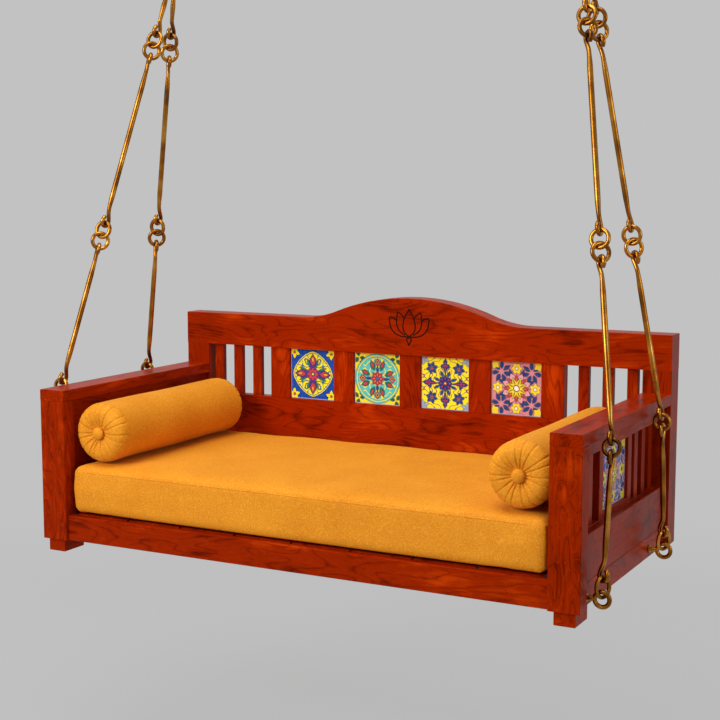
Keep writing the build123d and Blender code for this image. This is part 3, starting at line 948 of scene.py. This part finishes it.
PINK_BLOSSOM = PaintedTile("D58C98", (
    Scrolls("B5687E", 2.4, 0.16, 2.3, 1.3, 0.3),
    Petals("24427C", 7, 0.10, 0.42, 0.075, 0.9, 10, Fold.CORNERS, 0.60),
    Petals("24427C", 8, 0.44, 0.78, 0.065, 0.9, 22.5),
    Petals("E6A4AC", 8, 0.34, 0.60, 0.10, 0.7, 22.5),
    Petals("F2DC2E", 5, 0.0, 0.20, 0.075, 0.8, 0, Fold.CORNERS, 0.86),
    Petals("F2DC2E", 6, 0.03, 0.23, 0.085, 0.7, 30, Fold.SIDES, 0.74),
    Disc("F4EDE2", 0.06, fold=Fold.SIDES, reach=0.74),
    Petals("D8482C", 8, 0.10, 0.52, 0.09, 0.7),
    Petals("E2703A", 8, 0.10, 0.44, 0.05, 0.7),
    Petals("F4E02A", 8, 0.05, 0.42, 0.085, 0.75, 22.5),
    Petals("D99A18", 8, 0.16, 0.34, 0.012, 1.0, 22.5),
    Disc("D99A18", 0.12),
    Disc("F6F1E6", 0.10),
))
BLUE_BLOSSOM = PaintedTile("DCB6C6", (
    Scrolls("2448A8", 3.2, 0.36, 5.1, 1.5, 0.34),
    Petals("2A4488", 7, 0.10, 0.44, 0.08, 0.9, 10, Fold.CORNERS, 0.58),
    Petals("D98A94", 8, 0.34, 0.64, 0.10, 0.7, 22.5),
    Petals("F2DC2E", 5, 0.0, 0.22, 0.08, 0.8, 0, Fold.CORNERS, 0.86),
    Petals("F2DC2E", 6, 0.03, 0.25, 0.09, 0.7, 30, Fold.SIDES, 0.74),
    Disc("2A4488", 0.06, fold=Fold.SIDES, reach=0.74),
    Petals("C84A4A", 8, 0.10, 0.50, 0.10, 0.7),
    Petals("F4E02A", 10, 0.05, 0.43, 0.075, 0.75, 18),
    Petals("D99A18", 10, 0.16, 0.34, 0.012, 1.0, 18),
    Disc("3B8E96", 0.12),
    Disc("F6F1E6", 0.09),
))


# ---------------------------------------------------------------- the timber frame

@dataclass
class TimberFrame:
    """Posts, rails, boards, slats and arm caps, which keep their solids and take the polished finish."""

    nodes: dict[str, Thing]
    finish: Timber = Timber()
    plain: Plywood = Plywood()
    along_x: tuple[str, ...] = ("crest_rail", "back_low_rail", "back_bottom_rail", "front_rail", "seat_bearer")
    along_y: tuple[str, ...] = ("left_arm_cap", "right_arm_cap", "arm_rails", "side_boards", "arm_ledgers",
                                "side_rails", "arm_tile_strips", "arm_linings", "seat_boards", "feet")
    along_z: tuple[str, ...] = ("front_posts", "rear_posts", "arm_stiles", "arm_slats", "back_stiles", "back_slats")
    hidden: tuple[str, ...] = ("back_tile_backs", "arm_tile_backs")
    flames: dict[str, float] = field(default_factory=lambda: {"front_posts": 0.34, "front_rail": 0.14})
    flame: float = 0.08
    steps: tuple[float, float, float] = (0.731, 0.37, 0.53)
    run: float = 8.0

    def dress(self) -> list[str]:
        """Gives every board its own cut of the timber, and the boards behind the tiles plain plywood.

        Returns:
            The names of the boards.
        """
        done = []
        for grain, names in zip(Grain, (self.along_x, self.along_y, self.along_z)):
            for name in names:
                shift = tuple(step * len(done) for step in self.steps)
                finish = self.finish.material(f"timber_{name}", grain, shift, self.flames.get(name, self.flame))
                self.nodes[name].material_slots[0].material = finish
                done.append(name)
        for index, name in enumerate(self.hidden):
            self.nodes[name].material_slots[0].material = self.plain.material(f"plywood_{name}", self.run + index)
        return [*done, *self.hidden]


@dataclass
class Lotus:
    """The lotus outline cut into the dome of the crest rail, in metres from the middle of its base."""

    low: Vector
    finish: BlackLine = BlackLine()
    rise: float = 0.052
    line: float = 0.0028
    sink: float = 0.0020

    @staticmethod
    def petals() -> list[list[tuple[float, float]]]:
        """The outline's lines as control points across and up.

        Returns:
            One list for each line.
        """
        centre = [(0.0, 0.002), (-0.016, 0.012), (-0.021, 0.032), (-0.014, 0.058), (-0.003, 0.074), (0.0, 0.083)]
        pair = [(-0.012, 0.006), (-0.030, 0.014), (-0.040, 0.034), (-0.039, 0.056), (-0.037, 0.073), (-0.028, 0.067),
                (-0.020, 0.060), (-0.015, 0.055)]
        outer = [(-0.002, 0.001), (-0.030, 0.000), (-0.056, 0.018), (-0.062, 0.040), (-0.063, 0.057),
                 (-0.055, 0.056), (-0.047, 0.053), (-0.041, 0.048)]
        drop = [(0.0, -0.002), (-0.007, -0.003), (-0.008, -0.008), (-0.003, -0.016), (0.0, -0.025)]
        lines = [centre, pair, outer, drop]
        mirrored = [[(-across, up) for across, up in line] for line in lines]
        whole = [[*lines[i], *reversed(mirrored[i][:-1])] for i in (0, 3)]
        return [whole[0], pair, outer, whole[1], mirrored[1], mirrored[2]]

    def build(self) -> Thing:
        """Lays the lines half sunk in the rail's face.

        Returns:
            The engraved outline.
        """
        front, base = self.low.y + self.sink, self.low.z + self.rise
        paths = [[Vector((across, front, base + up)) for across, up in line] for line in self.petals()]
        piece = wire_piece("lotus_outline", paths, self.line)
        coat(piece, self.finish.material("engraving_black"))
        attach(piece, "bench")
        return piece


# ---------------------------------------------------------------- the tiles

@dataclass
class TileWork:
    """The four tiles of the back and the two of the arms."""

    nodes: dict[str, Thing]
    back_designs: tuple[PaintedTile, ...] = (BLUE_MEDALLION, TURQUOISE_WHEEL, YELLOW_GARDEN, PINK_BLOSSOM)
    arm_design: PaintedTile = BLUE_BLOSSOM

    def dress(self) -> list[str]:
        """Paints every tile.

        Returns:
            The names of the tiles.
        """
        rows = [(f"back_tile_{i + 1}", design, 0, (pi / 2, 0.0, 0.0)) for i, design in enumerate(self.back_designs)]
        rows += [(f"{side}_arm_tile", self.arm_design, 1, (0.0, pi / 2, pi / 2)) for side in ("left", "right")]
        for name, design, across, turn in rows:
            glaze = design.material(f"glaze_{name}", corners(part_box(name)), across, turn)
            self.nodes[name].material_slots[0].material = glaze
        return [row[0] for row in rows]


# ---------------------------------------------------------------- the brass

@dataclass
class BrassWork:
    """Rods, rings, links, hooks, eye bolts and their fixings."""

    nodes: dict[str, Thing]
    finish: Brass = Brass()
    eye_radius: float = 0.0175
    eye_wire: float = 0.0055
    shank: float = 0.006
    shank_end: float = 0.0905
    collar: float = 0.010
    collar_thickness: float = 0.004
    rail_face: float = 0.750
    eye_x: float = 0.789
    long_edge: float = 0.05
    cuts: int = 13
    fuller: float = 0.0002
    slimmer: float = -0.0004
    shank_extra: float = 0.0016
    skin: float = 0.0003
    hook_x: float = 0.600
    hook_wire: float = 0.006
    hook_bowl: float = 0.017
    hook_drop: float = 0.057
    screw_ring: float = 0.032
    screw_head: float = 0.0048

    @staticmethod
    def wire_nodes() -> dict[str, str]:
        """Each node of bent rods or closed rings and the body that it rides.

        Returns:
            The bodies by node.
        """
        rods = {f"{side}_{part}_rods": f"{side}_hangers" for side in ("left", "right")
                for part in ("top", "upper", "middle")}
        rings = {f"{side}_{part}_rings": f"{side}_hangers" for side in ("left", "right") for part in ("top", "mid")}
        return {**rods, "lower_rods": "bench", **rings, "arm_rings": "bench", "long_links": "bench",
                "ceiling_rings": "ceiling_rings"}

    def build(self) -> list[Thing]:
        """Makes every piece of the brass.

        Returns:
            The pieces.
        """
        material = self.finish.material("antique_brass")
        pieces = [self.hang(self.forged(name), material, body, name) for name, body in self.wire_nodes().items()]
        pieces.append(self.hang(self.eye_bolts(), material, "bench", "eye_bolts"))
        pieces.append(self.hang(self.hooks(), material, "ceiling", "ceiling_hooks"))
        for name in ("washers", "nuts", "ceiling_plates"):
            self.nodes[name].material_slots[0].material = material
        pieces.append(self.hang(self.plate_screws(), material, "ceiling"))
        return pieces

    @staticmethod
    def hang(piece: Thing, material: Material, body: str, node: str = "") -> Thing:
        """Finishes a piece and fixes it to its body.

        Args:
            piece: the piece.
            material: its finish.
            body: the body that it rides.
            node: the CAD node that it replaces, if any.

        Returns:
            The piece.
        """
        coat(piece, material)
        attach(piece, body)
        if node:
            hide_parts(node)
        return piece

    def forged(self, name: str) -> Thing:
        """A round, smooth copy of a node's eight-sided wires.

        Args:
            name: the node.

        Returns:
            The smooth piece.
        """
        piece = put(f"forged_{name}", self.nodes[name].data.copy())
        mark(piece)
        bpy.ops.mesh.remove_doubles(threshold=0.00002)
        bpy.ops.mesh.tris_convert_to_quads(face_threshold=radians(3), shape_threshold=pi)
        leave_edit()
        shanks = self.shanks(piece) if "rods" in name else []
        if shanks:
            mark(piece, lambda a, b: (a - b).length > self.long_edge, "EDGE")
            bpy.ops.mesh.subdivide(number_cuts=self.cuts)
            leave_edit()
        worked(piece, "SUBSURF", levels=2, render_levels=2)
        mark(piece)
        bpy.ops.transform.shrink_fatten(value=self.slimmer if name == "ceiling_rings" else self.fuller)
        leave_edit()
        for start, end in shanks:
            self.fill_out(piece, start, end)
        bpy.ops.object.shade_smooth()
        return piece

    def shanks(self, piece: Thing) -> list[tuple[Vector, Vector]]:
        """The middle line of each rod's straight run.

        Args:
            piece: the rods, before they are divided.

        Returns:
            The two ends of each line.
        """
        runs: list[list[tuple[Vector, Vector]]] = []
        places = [vertex.co.copy() for vertex in piece.data.vertices]
        for line in piece.data.edges:
            low, high = sorted((places[i] for i in line.vertices), key=lambda place: place.z)
            if (high - low).length < self.long_edge:
                continue
            near = [run for run in runs if (run[0][0] - low).length < 3 * self.eye_wire]
            if near:
                near[0].append((low, high))
            else:
                runs.append([(low, high)])
        return [tuple(sum((line[i] for line in run), Vector()) / len(run) for i in (0, 1)) for run in runs]

    def fill_out(self, piece: Thing, start: Vector, end: Vector) -> None:
        """Thickens one rod between its loops.

        Args:
            piece: the rods.
            start: one end of the rod's straight run.
            end: the other end.
        """
        run = (end - start).length
        along = (end - start) / run
        for vertex in piece.data.vertices:
            place = (vertex.co - start).dot(along)
            away = vertex.co - start - along * place
            if 0 < place < run and away.length < self.eye_wire + self.skin:
                share = smooth_step(min(place, run - place), 0.006, 0.050)
                vertex.co += away.normalized() * self.shank_extra * share

    def eye_bolts(self) -> Thing:
        """The four eye bolts, each an eye, a collar and a shank.

        Returns:
            The four, as one piece.
        """
        eye = new_primitive("eye", bpy.ops.mesh.primitive_torus_add, major_radius=self.eye_radius,
                            minor_radius=self.eye_wire, major_segments=40, minor_segments=14,
                            rotation=(pi / 2, 0, 0))
        shank = self.turned("shank", self.shank, self.shank_end - self.eye_radius,
                            -(self.shank_end + self.eye_radius) / 2, 0.0008)
        middle = self.rail_face + self.collar_thickness / 2 - self.eye_x
        collar = self.turned("collar", self.collar, self.collar_thickness, middle, 0.0012)
        bolt = join("eye_bolt", [eye, shank, collar])
        bpy.ops.object.shade_smooth_by_angle(angle=radians(40))
        low, high = corners(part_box("eye_bolts"))
        places = [handed(side, self.eye_x, y, (low.z + high.z) / 2) for side in (-1, 1)
                  for y in (low.y + self.collar, high.y - self.collar)]
        return stamped("forged_eye_bolts", bolt, places)

    @staticmethod
    def turned(name: str, radius: float, length: float, middle: float, ease: float) -> Thing:
        """A turned pin along X with eased ends.

        Args:
            name: the pin's name.
            radius: its radius.
            length: its length.
            middle: x of its middle.
            ease: how far its end edges are rounded.

        Returns:
            The pin.
        """
        pin = new_primitive(name, bpy.ops.mesh.primitive_cylinder_add, vertices=28, radius=radius, depth=length,
                            location=(middle, 0, 0), rotation=(0, pi / 2, 0))
        ease_edges(pin, ease, lambda face: abs(face.normal.x) > 0.9)
        return pin

    def hooks(self) -> Thing:
        """The two ceiling hooks with their collars.

        Returns:
            The two, as one piece.
        """
        bowl = self.hook_bowl / cos(pi / 8)
        bend = [radians(turn) for turn in (202.5, 157.5, 112.5, 67.5, 22.5, -22.5)]
        run = [(0.0, -0.005), (0.0, -0.012), (0.0, -0.020)]
        run += [(bowl * cos(angle), -self.hook_drop - bowl * sin(angle)) for angle in bend]
        hook = wire_piece("hook", [[Vector((x, 0.0, z)) for x, z in run]], self.hook_wire)
        collar = new_primitive("hook_collar", bpy.ops.mesh.primitive_cylinder_add, vertices=32, radius=0.011,
                               depth=0.008, location=(0, 0, -0.010))
        ease_edges(collar, 0.0018, lambda face: face.normal.z < -0.9)
        hook = join("hook", [hook, collar])
        bpy.ops.object.shade_smooth_by_angle(angle=radians(40))
        return stamped("forged_ceiling_hooks", hook, [handed(side, self.hook_x, 0, 0) for side in (-1, 1)])

    def plate_screws(self) -> Thing:
        """The slotted screws that hold the ceiling plates.

        Returns:
            The eight, as one piece.
        """
        head = new_primitive("screw", bpy.ops.mesh.primitive_cylinder_add, vertices=24, radius=self.screw_head,
                             depth=0.0022, location=(0, 0, -0.0071))
        ease_edges(head, 0.0011, lambda face: face.normal.z < -0.9)
        bar = new_primitive("slot", bpy.ops.mesh.primitive_cube_add, (0.012, 0.0011, 0.0014), size=1,
                            location=(0, 0, -0.0082))
        worked(head, "BOOLEAN", object=bar, operation="DIFFERENCE")
        bpy.data.objects.remove(bar)
        bpy.ops.object.shade_smooth_by_angle(angle=radians(35))
        places = []
        for side in (-1, 1):
            for angle in (pi / 4 + step * pi / 2 for step in range(4)):
                spot = (side * self.hook_x + self.screw_ring * cos(angle), self.screw_ring * sin(angle), 0.0)
                places.append(Matrix.Translation(spot) @ Matrix.Rotation(angle * 1.7, 4, "Z"))
        return stamped("plate_screws", head, places)


# ---------------------------------------------------------------- the cushions

@dataclass
class Mattress:
    """The seat mattress: a filled cover with a seam near its top edge."""

    finish: Material
    low: Vector = field(init=False)
    high: Vector = field(init=False)
    voxel: float = 0.010
    start_in: float = 0.004
    block_edge: float = 0.012
    swell: float = 0.006
    margin: float = 0.0006
    inset: float = 0.0004
    crown: float = 0.006
    waist: float = 0.004
    ripple: float = 0.0012
    seam_drop: float = 0.020
    seam_radius: float = 0.0015
    stitches: int = 220
    to_rail: float = 0.0085
    frames: int = 16

    def __post_init__(self) -> None:
        """Takes the mattress's space, with some more at its back."""
        self.low, self.high = corners(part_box("mattress"))
        self.high.y += self.to_rail

    def build(self) -> list[Thing]:
        """Fills, settles and sews the mattress.

        Returns:
            The cover and its seam.
        """
        cover = self.block()
        self.fill(cover)
        self.settle_in(cover)
        worked(cover, "SUBSURF", levels=1, render_levels=1)
        bpy.ops.object.shade_smooth()
        seam = self.seam(cover)
        for piece in (cover, seam):
            coat(piece, self.finish)
            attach(piece, "mattress")
        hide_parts("mattress")
        return [cover, seam]

    def block(self) -> Thing:
        """The rounded block that the cover starts from.

        Returns:
            The remeshed block.
        """
        size = tuple(run - 2 * self.start_in for run in self.high - self.low)
        cover = new_primitive("mattress_cover", bpy.ops.mesh.primitive_cube_add, size, size=1,
                              location=(self.low + self.high) / 2)
        ease_edges(cover, self.block_edge, segments=4)
        worked(cover, "REMESH", mode="VOXEL", voxel_size=self.voxel)
        return cover

    def fill(self, cover: Thing) -> None:
        """Blows the cover up as cloth, and caps how far any point may move.

        Args:
            cover: the remeshed block.
        """
        start = [vertex.co.copy() for vertex in cover.data.vertices]
        pick_only(cover)
        cloth = cover.modifiers.new("fill", "CLOTH")
        cloth.settings.use_pressure = True
        cloth.settings.uniform_pressure_force = 4.0
        cloth.settings.effector_weights.gravity = 0.0
        cloth.settings.quality = 4
        cloth.point_cache.frame_start = 1
        cloth.point_cache.frame_end = self.frames
        scene = bpy.context.scene
        for frame in range(1, self.frames + 1):
            scene.frame_set(frame)
        bpy.ops.object.modifier_apply(modifier=cloth.name)
        scene.frame_set(1)
        for vertex, before in zip(cover.data.vertices, start):
            move = vertex.co - before
            if move.length > self.swell:
                vertex.co = before + move * (self.swell / move.length)

    def settle_in(self, cover: Thing) -> None:
        """Keeps the cover in its space, flat below and pulled in along its sides.

        Args:
            cover: the filled cover.
        """
        low, high = self.low, self.high
        middle, half = (low + high) / 2, (high - low) / 2
        found_low = Vector([min(v.co[i] for v in cover.data.vertices) for i in range(3)])
        found_high = Vector([max(v.co[i] for v in cover.data.vertices) for i in range(3)])
        for vertex in cover.data.vertices:
            place = Vector([low[i] + self.margin + (vertex.co[i] - found_low[i]) * 2 * (half[i] - self.margin)
                            / (found_high[i] - found_low[i]) for i in range(3)])
            share = [(place[i] - middle[i]) / half[i] for i in range(3)]
            if share[2] > 0:
                edge = 1 - (1 - share[0] ** 2) ** 0.5 * (1 - share[1] ** 2) ** 0.5
                place.z -= self.crown * edge * smooth_step(share[2], 0.0, 0.8)
            for i, other in ((0, 1), (1, 0)):
                place[i] -= self.waist * share[other] ** 2 * share[i] * abs(share[2])
            place.z += self.ripple * sin(place.x * 23 + place.y * 9) * smooth_step(share[2], 0.5, 1.0)
            vertex.co = Vector([min(high[i] - self.inset, max(low[i] + self.inset, place[i])) for i in range(3)])

    def seam(self, cover: Thing) -> Thing:
        """The sewn line round the top of the cover.

        Args:
            cover: the finished cover.

        Returns:
            The seam, pressed half into the cloth.
        """
        middle, half = (self.low + self.high) / 2, (self.high - self.low) / 2
        tree = BVHTree.FromPolygons([v.co for v in cover.data.vertices], [p.vertices for p in cover.data.polygons])
        points = []
        for step in range(self.stitches):
            angle = 2 * pi * step / self.stitches
            ray = Vector((cos(angle) * half.x, sin(angle) * half.y, 0))
            stretch = min(half.x / max(abs(ray.x), 1e-6), half.y / max(abs(ray.y), 1e-6))
            outside = Vector((middle.x, middle.y, self.high.z - self.seam_drop)) + ray * stretch * 1.02
            place = tree.find_nearest(outside)[0]
            points.append(place - (outside - place).normalized() * self.seam_radius * 0.3)
        return wire_piece("mattress_seam", [points], self.seam_radius, closed=True)


@dataclass
class Bolster:
    """A round bolster with gathered ends, buttons and a seam round each end."""

    side: str
    finish: Material
    low: Vector = field(init=False)
    high: Vector = field(init=False)
    radius: float = 0.0802
    pleats: int = 18
    around: int = 288
    dimple: float = 0.010
    pleat_depth: float = 0.0024
    pleat_width: float = 0.0018
    puff: float = 0.0008
    wave: float = 0.0007
    corner: float = 0.030
    seam_in: float = 0.010
    seam_half: float = 0.0035
    button: float = 0.0165

    def __post_init__(self) -> None:
        """Takes the bolster's space."""
        self.low, self.high = corners(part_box(f"{self.side}_bolster"))

    def build(self) -> list[Thing]:
        """Turns, gathers and buttons the bolster.

        Returns:
            The cover and its two buttons.
        """
        cover = self.turn_profile()
        self.gather(cover)
        bpy.ops.object.shade_smooth()
        buttons = self.buttons()
        for piece in (cover, buttons):
            coat(piece, self.finish)
            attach(piece, f"{self.side}_bolster")
        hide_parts(f"{self.side}_bolster")
        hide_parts(f"{self.side}_bolster_buttons")
        return [cover, buttons]

    def profile(self, run: float) -> list[tuple[float, float]]:
        """Half of the bolster's outline, as distance from the end and radius.

        Args:
            run: the bolster's length.

        Returns:
            The points from the middle of the end to half way along.
        """
        points = []
        flat = self.radius - self.corner
        for step in range(14):
            radius = flat * step / 13
            sunk = self.dimple * (1 - smooth_step(radius, self.button * 0.6, self.button * 2.9))
            points.append((sunk, max(radius, 0.0004)))
        for angle in (pi / 2 * step / 12 for step in range(1, 13)):
            points.append((self.corner * (1 - cos(angle)), flat + self.corner * sin(angle)))
        seam, half = self.corner + self.seam_in, self.seam_half
        for offset, pinch in ((-half, 0.0), (-0.0016, 0.0002), (0.0, 0.0011), (0.0016, 0.0002), (half, 0.0)):
            points.append((seam + offset, self.radius - pinch))
        for step in range(1, 15):
            points.append((seam + half + (run / 2 - seam - half) * step / 14, self.radius))
        return points

    def turn_profile(self) -> Thing:
        """Spins the outline into the closed cover.

        Returns:
            The cover, before it is gathered.
        """
        low, high = self.low, self.high
        axis = Vector(((low.x + high.x) / 2, low.y, (low.z + high.z) / 2))
        run = high.y - low.y
        half = self.profile(run)
        line = [*half, *((run - along, radius) for along, radius in reversed(half[:-1]))]
        mesh = bpy.data.meshes.new(f"{self.side}_bolster_cover")
        mesh.from_pydata([(axis.x + radius, axis.y + along, axis.z) for along, radius in line],
                         [(i, i + 1) for i in range(len(line) - 1)], [])
        cover = put(mesh.name, mesh)
        pick_only(cover)
        bpy.ops.object.mode_set(mode="EDIT")
        bpy.ops.mesh.select_all(action="SELECT")
        bpy.ops.mesh.spin(steps=self.around, angle=2 * pi, center=axis, axis=(0, 1, 0))
        bpy.ops.mesh.select_all(action="SELECT")
        bpy.ops.mesh.remove_doubles(threshold=0.00005)
        bpy.ops.mesh.normals_make_consistent(inside=False)
        leave_edit()
        return cover

    def gather(self, cover: Thing) -> None:
        """Presses the pleats into the ends and flattens the cover where it rests.

        Args:
            cover: the spun cover.
        """
        low, high = self.low, self.high
        axis_x, axis_z = (low.x + high.x) / 2, (low.z + high.z) / 2
        starts = [2 * pi * (i + 0.18 * sin(i * 2.3)) / self.pleats for i in range(self.pleats)]
        for vertex in cover.data.vertices:
            place = vertex.co
            across, up = place.x - axis_x, place.z - axis_z
            radius, angle = hypot(across, up), atan2(up, across) % (2 * pi)
            from_end = min(place.y - low.y, high.y - place.y)
            gap = min(min(abs(angle - start), 2 * pi - abs(angle - start)) for start in starts)
            crease = exp(-(gap * max(radius, 0.02) / self.pleat_width) ** 2)
            if from_end < self.corner * 0.7:
                reach = smooth_step(radius, self.button * 0.7, self.button * 1.3)
            else:
                reach = 1 - smooth_step(from_end, self.corner * 0.7, self.corner + 0.011)
            depth = self.pleat_depth * crease * reach
            puff = self.puff * (1 - crease) * reach * sin(pi * min(1.0, radius / self.radius))
            toward = 1 if place.y - low.y < high.y - place.y else -1
            tip = smooth_step(self.radius - radius, 0.0, self.corner)
            place.y += toward * (depth - puff) * max(tip, 0.25)
            if radius > 0.001:
                shrink = 1 - depth * (1 - tip) / radius
                wave = self.wave * sin(angle * 3 + place.y * 17) * (1 - reach)
                place.x = axis_x + across * (shrink + wave / radius)
                place.z = axis_z + up * (shrink + wave / radius)
            place.z = max(place.z, low.z + 0.0002)
            place.y = min(high.y, max(low.y, place.y))
            place.x = min(high.x + 0.001, max(low.x - 0.001, place.x))

    def buttons(self) -> Thing:
        """The two covered buttons.

        Returns:
            The two, as one piece.
        """
        button = new_primitive("button", bpy.ops.mesh.primitive_uv_sphere_add, (1.0, 1.0, 0.55), segments=32,
                               ring_count=16, radius=self.button)
        mark(button, lambda face: face.center.z < -self.button * 0.18)
        bpy.ops.transform.resize(value=(0.86, 0.86, 1.0), center_override=(0, 0, 0))
        leave_edit()
        bpy.ops.object.shade_smooth()
        middle, sunk = (self.low + self.high) / 2, self.dimple - self.button * 0.4
        places = [Matrix.Translation((middle.x, y + way * sunk, middle.z)) @ Matrix.Rotation(way * pi / 2, 4, "X")
                  for y, way in ((self.low.y, 1), (self.high.y, -1))]
        return stamped(f"{self.side}_bolster_covered_buttons", button, places)


# ---------------------------------------------------------------- the room

@dataclass
class Studio:
    """A pale floor and backdrop, soft lamps and the camera."""

    floor_z: float = -2.25
    floor_size: float = 120.0
    grey: str = "C2C2C2"
    sky: str = "F4F4F6"
    sky_strength: float = 0.30
    camera_place: tuple[float, float, float] = (1.7714, -3.3664, -0.6871)
    camera_turn: float = 0.4865
    camera_dip: float = 0.1215
    lens: float = 71.45

    def build(self) -> None:
        """Sets the whole room."""
        self.set_world()
        self.set_floor()
        self.set_lamp("key", (-1.9, -4.6, 1.0), (0.0, 0.0, -1.2), 2.2, 184.0)
        self.set_lamp("overhead", (0.0, -0.9, 2.0), (0.0, 0.0, -1.3), 2.4, 91.0)
        self.set_lamp("side", (3.8, -0.6, -0.4), (0.5, 0.0, -1.3), 1.6, 22.0)
        self.set_camera()
        bpy.context.scene.view_settings.view_transform = "Standard"

    @staticmethod
    def seeing(desk: NodeDesk) -> Signal:
        """1 on the rays that the camera sends, straight or by way of metal and glaze, and 0 on all others.

        Args:
            desk: the desk of the material or world.

        Returns:
            The number.
        """
        path = desk.add("LightPath").outputs
        sent = desk.math("MAXIMUM", path["Is Camera Ray"], path["Is Glossy Ray"])
        return desk.math("MAXIMUM", sent, path["Is Transmission Ray"])

    def set_world(self) -> None:
        """Pale even light, with the backdrop's grey for what the camera and the brass see."""
        world = bpy.data.worlds.new("room")
        bpy.context.scene.world = world
        world.use_nodes = True
        desk = NodeDesk(world.node_tree)
        desk.tree.nodes.clear()
        soft = desk.add("Background", {"Color": tint(self.sky), "Strength": self.sky_strength})
        seen = desk.add("Background", {"Color": tint(self.grey), "Strength": 1.0})
        mix = desk.add("MixShader", {0: self.seeing(desk), 1: soft.outputs[0], 2: seen.outputs[0]})
        desk.add("OutputWorld", {0: mix.outputs[0]})

    def set_floor(self) -> None:
        """A wide floor that fades into the backdrop's grey."""
        floor = new_primitive("studio_floor", bpy.ops.mesh.primitive_grid_add, x_subdivisions=8, y_subdivisions=8,
                              size=self.floor_size, location=(0, 0, self.floor_z))
        material, desk, shader = new_material("studio_grey")
        desk.fill(shader, {"Base Color": tint(self.grey), "Roughness": 1.0, "Specular IOR Level": 0.0})
        fade = desk.spread(desk.length(desk.place()), 2.4, 4.2) * 0.18 + 0.82
        glow = desk.add("Emission", {"Color": tint(self.grey), "Strength": 1.0})
        mix = desk.add("MixShader", {0: self.seeing(desk) * fade, 1: shader.outputs[0], 2: glow.outputs[0]})
        desk.fill(desk.tree.nodes["Material Output"], {0: mix.outputs[0]})
        coat(floor, material)

    @staticmethod
    def set_lamp(name: str, place: Sequence[float], aim: Sequence[float], size: float, power: float) -> None:
        """A soft square lamp.

        Args:
            name: the lamp's name.
            place: where it stands.
            aim: what it faces.
            size: the length of its side.
            power: its power in watts.
        """
        lamp = bpy.data.lights.new(name, "AREA")
        lamp.size = size
        lamp.energy = power
        obj = put(name, lamp)
        obj.location = place
        obj.rotation_euler = (Vector(aim) - Vector(place)).to_track_quat("-Z", "Y").to_euler()

    def set_camera(self) -> None:
        """The camera, at the front and to the right of the swing."""
        data = bpy.data.cameras.new("camera")
        data.lens = self.lens
        data.sensor_width = 36.0
        obj = put("camera", data)
        obj.location = self.camera_place
        obj.rotation_euler = (pi / 2 - self.camera_dip, 0.0, self.camera_turn)
        bpy.context.scene.camera = obj


# ---------------------------------------------------------------- assembly

def main() -> None:
    """Builds and dresses the swing, sub-assembly by sub-assembly."""
    logging.basicConfig(level=logging.INFO, format="%(name)s: %(message)s")
    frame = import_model()
    nodes = frame["nodes"]
    Studio().build()
    LOG.info("timber: %s", ", ".join(TimberFrame(nodes).dress()))
    LOG.info("lotus: %s", Lotus(corners(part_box("crest_rail"))[0]).build().name)
    LOG.info("tiles: %s", ", ".join(TileWork(nodes).dress()))
    cloth = Brocade().material("mustard_brocade")
    for maker in (BrassWork(nodes), Mattress(cloth), Bolster("left", cloth), Bolster("right", cloth)):
        for piece in maker.build():
            LOG.info("%s: %s, %d faces", type(maker).__name__, piece.name, len(piece.data.polygons))


if __name__ == "__main__":
    main()
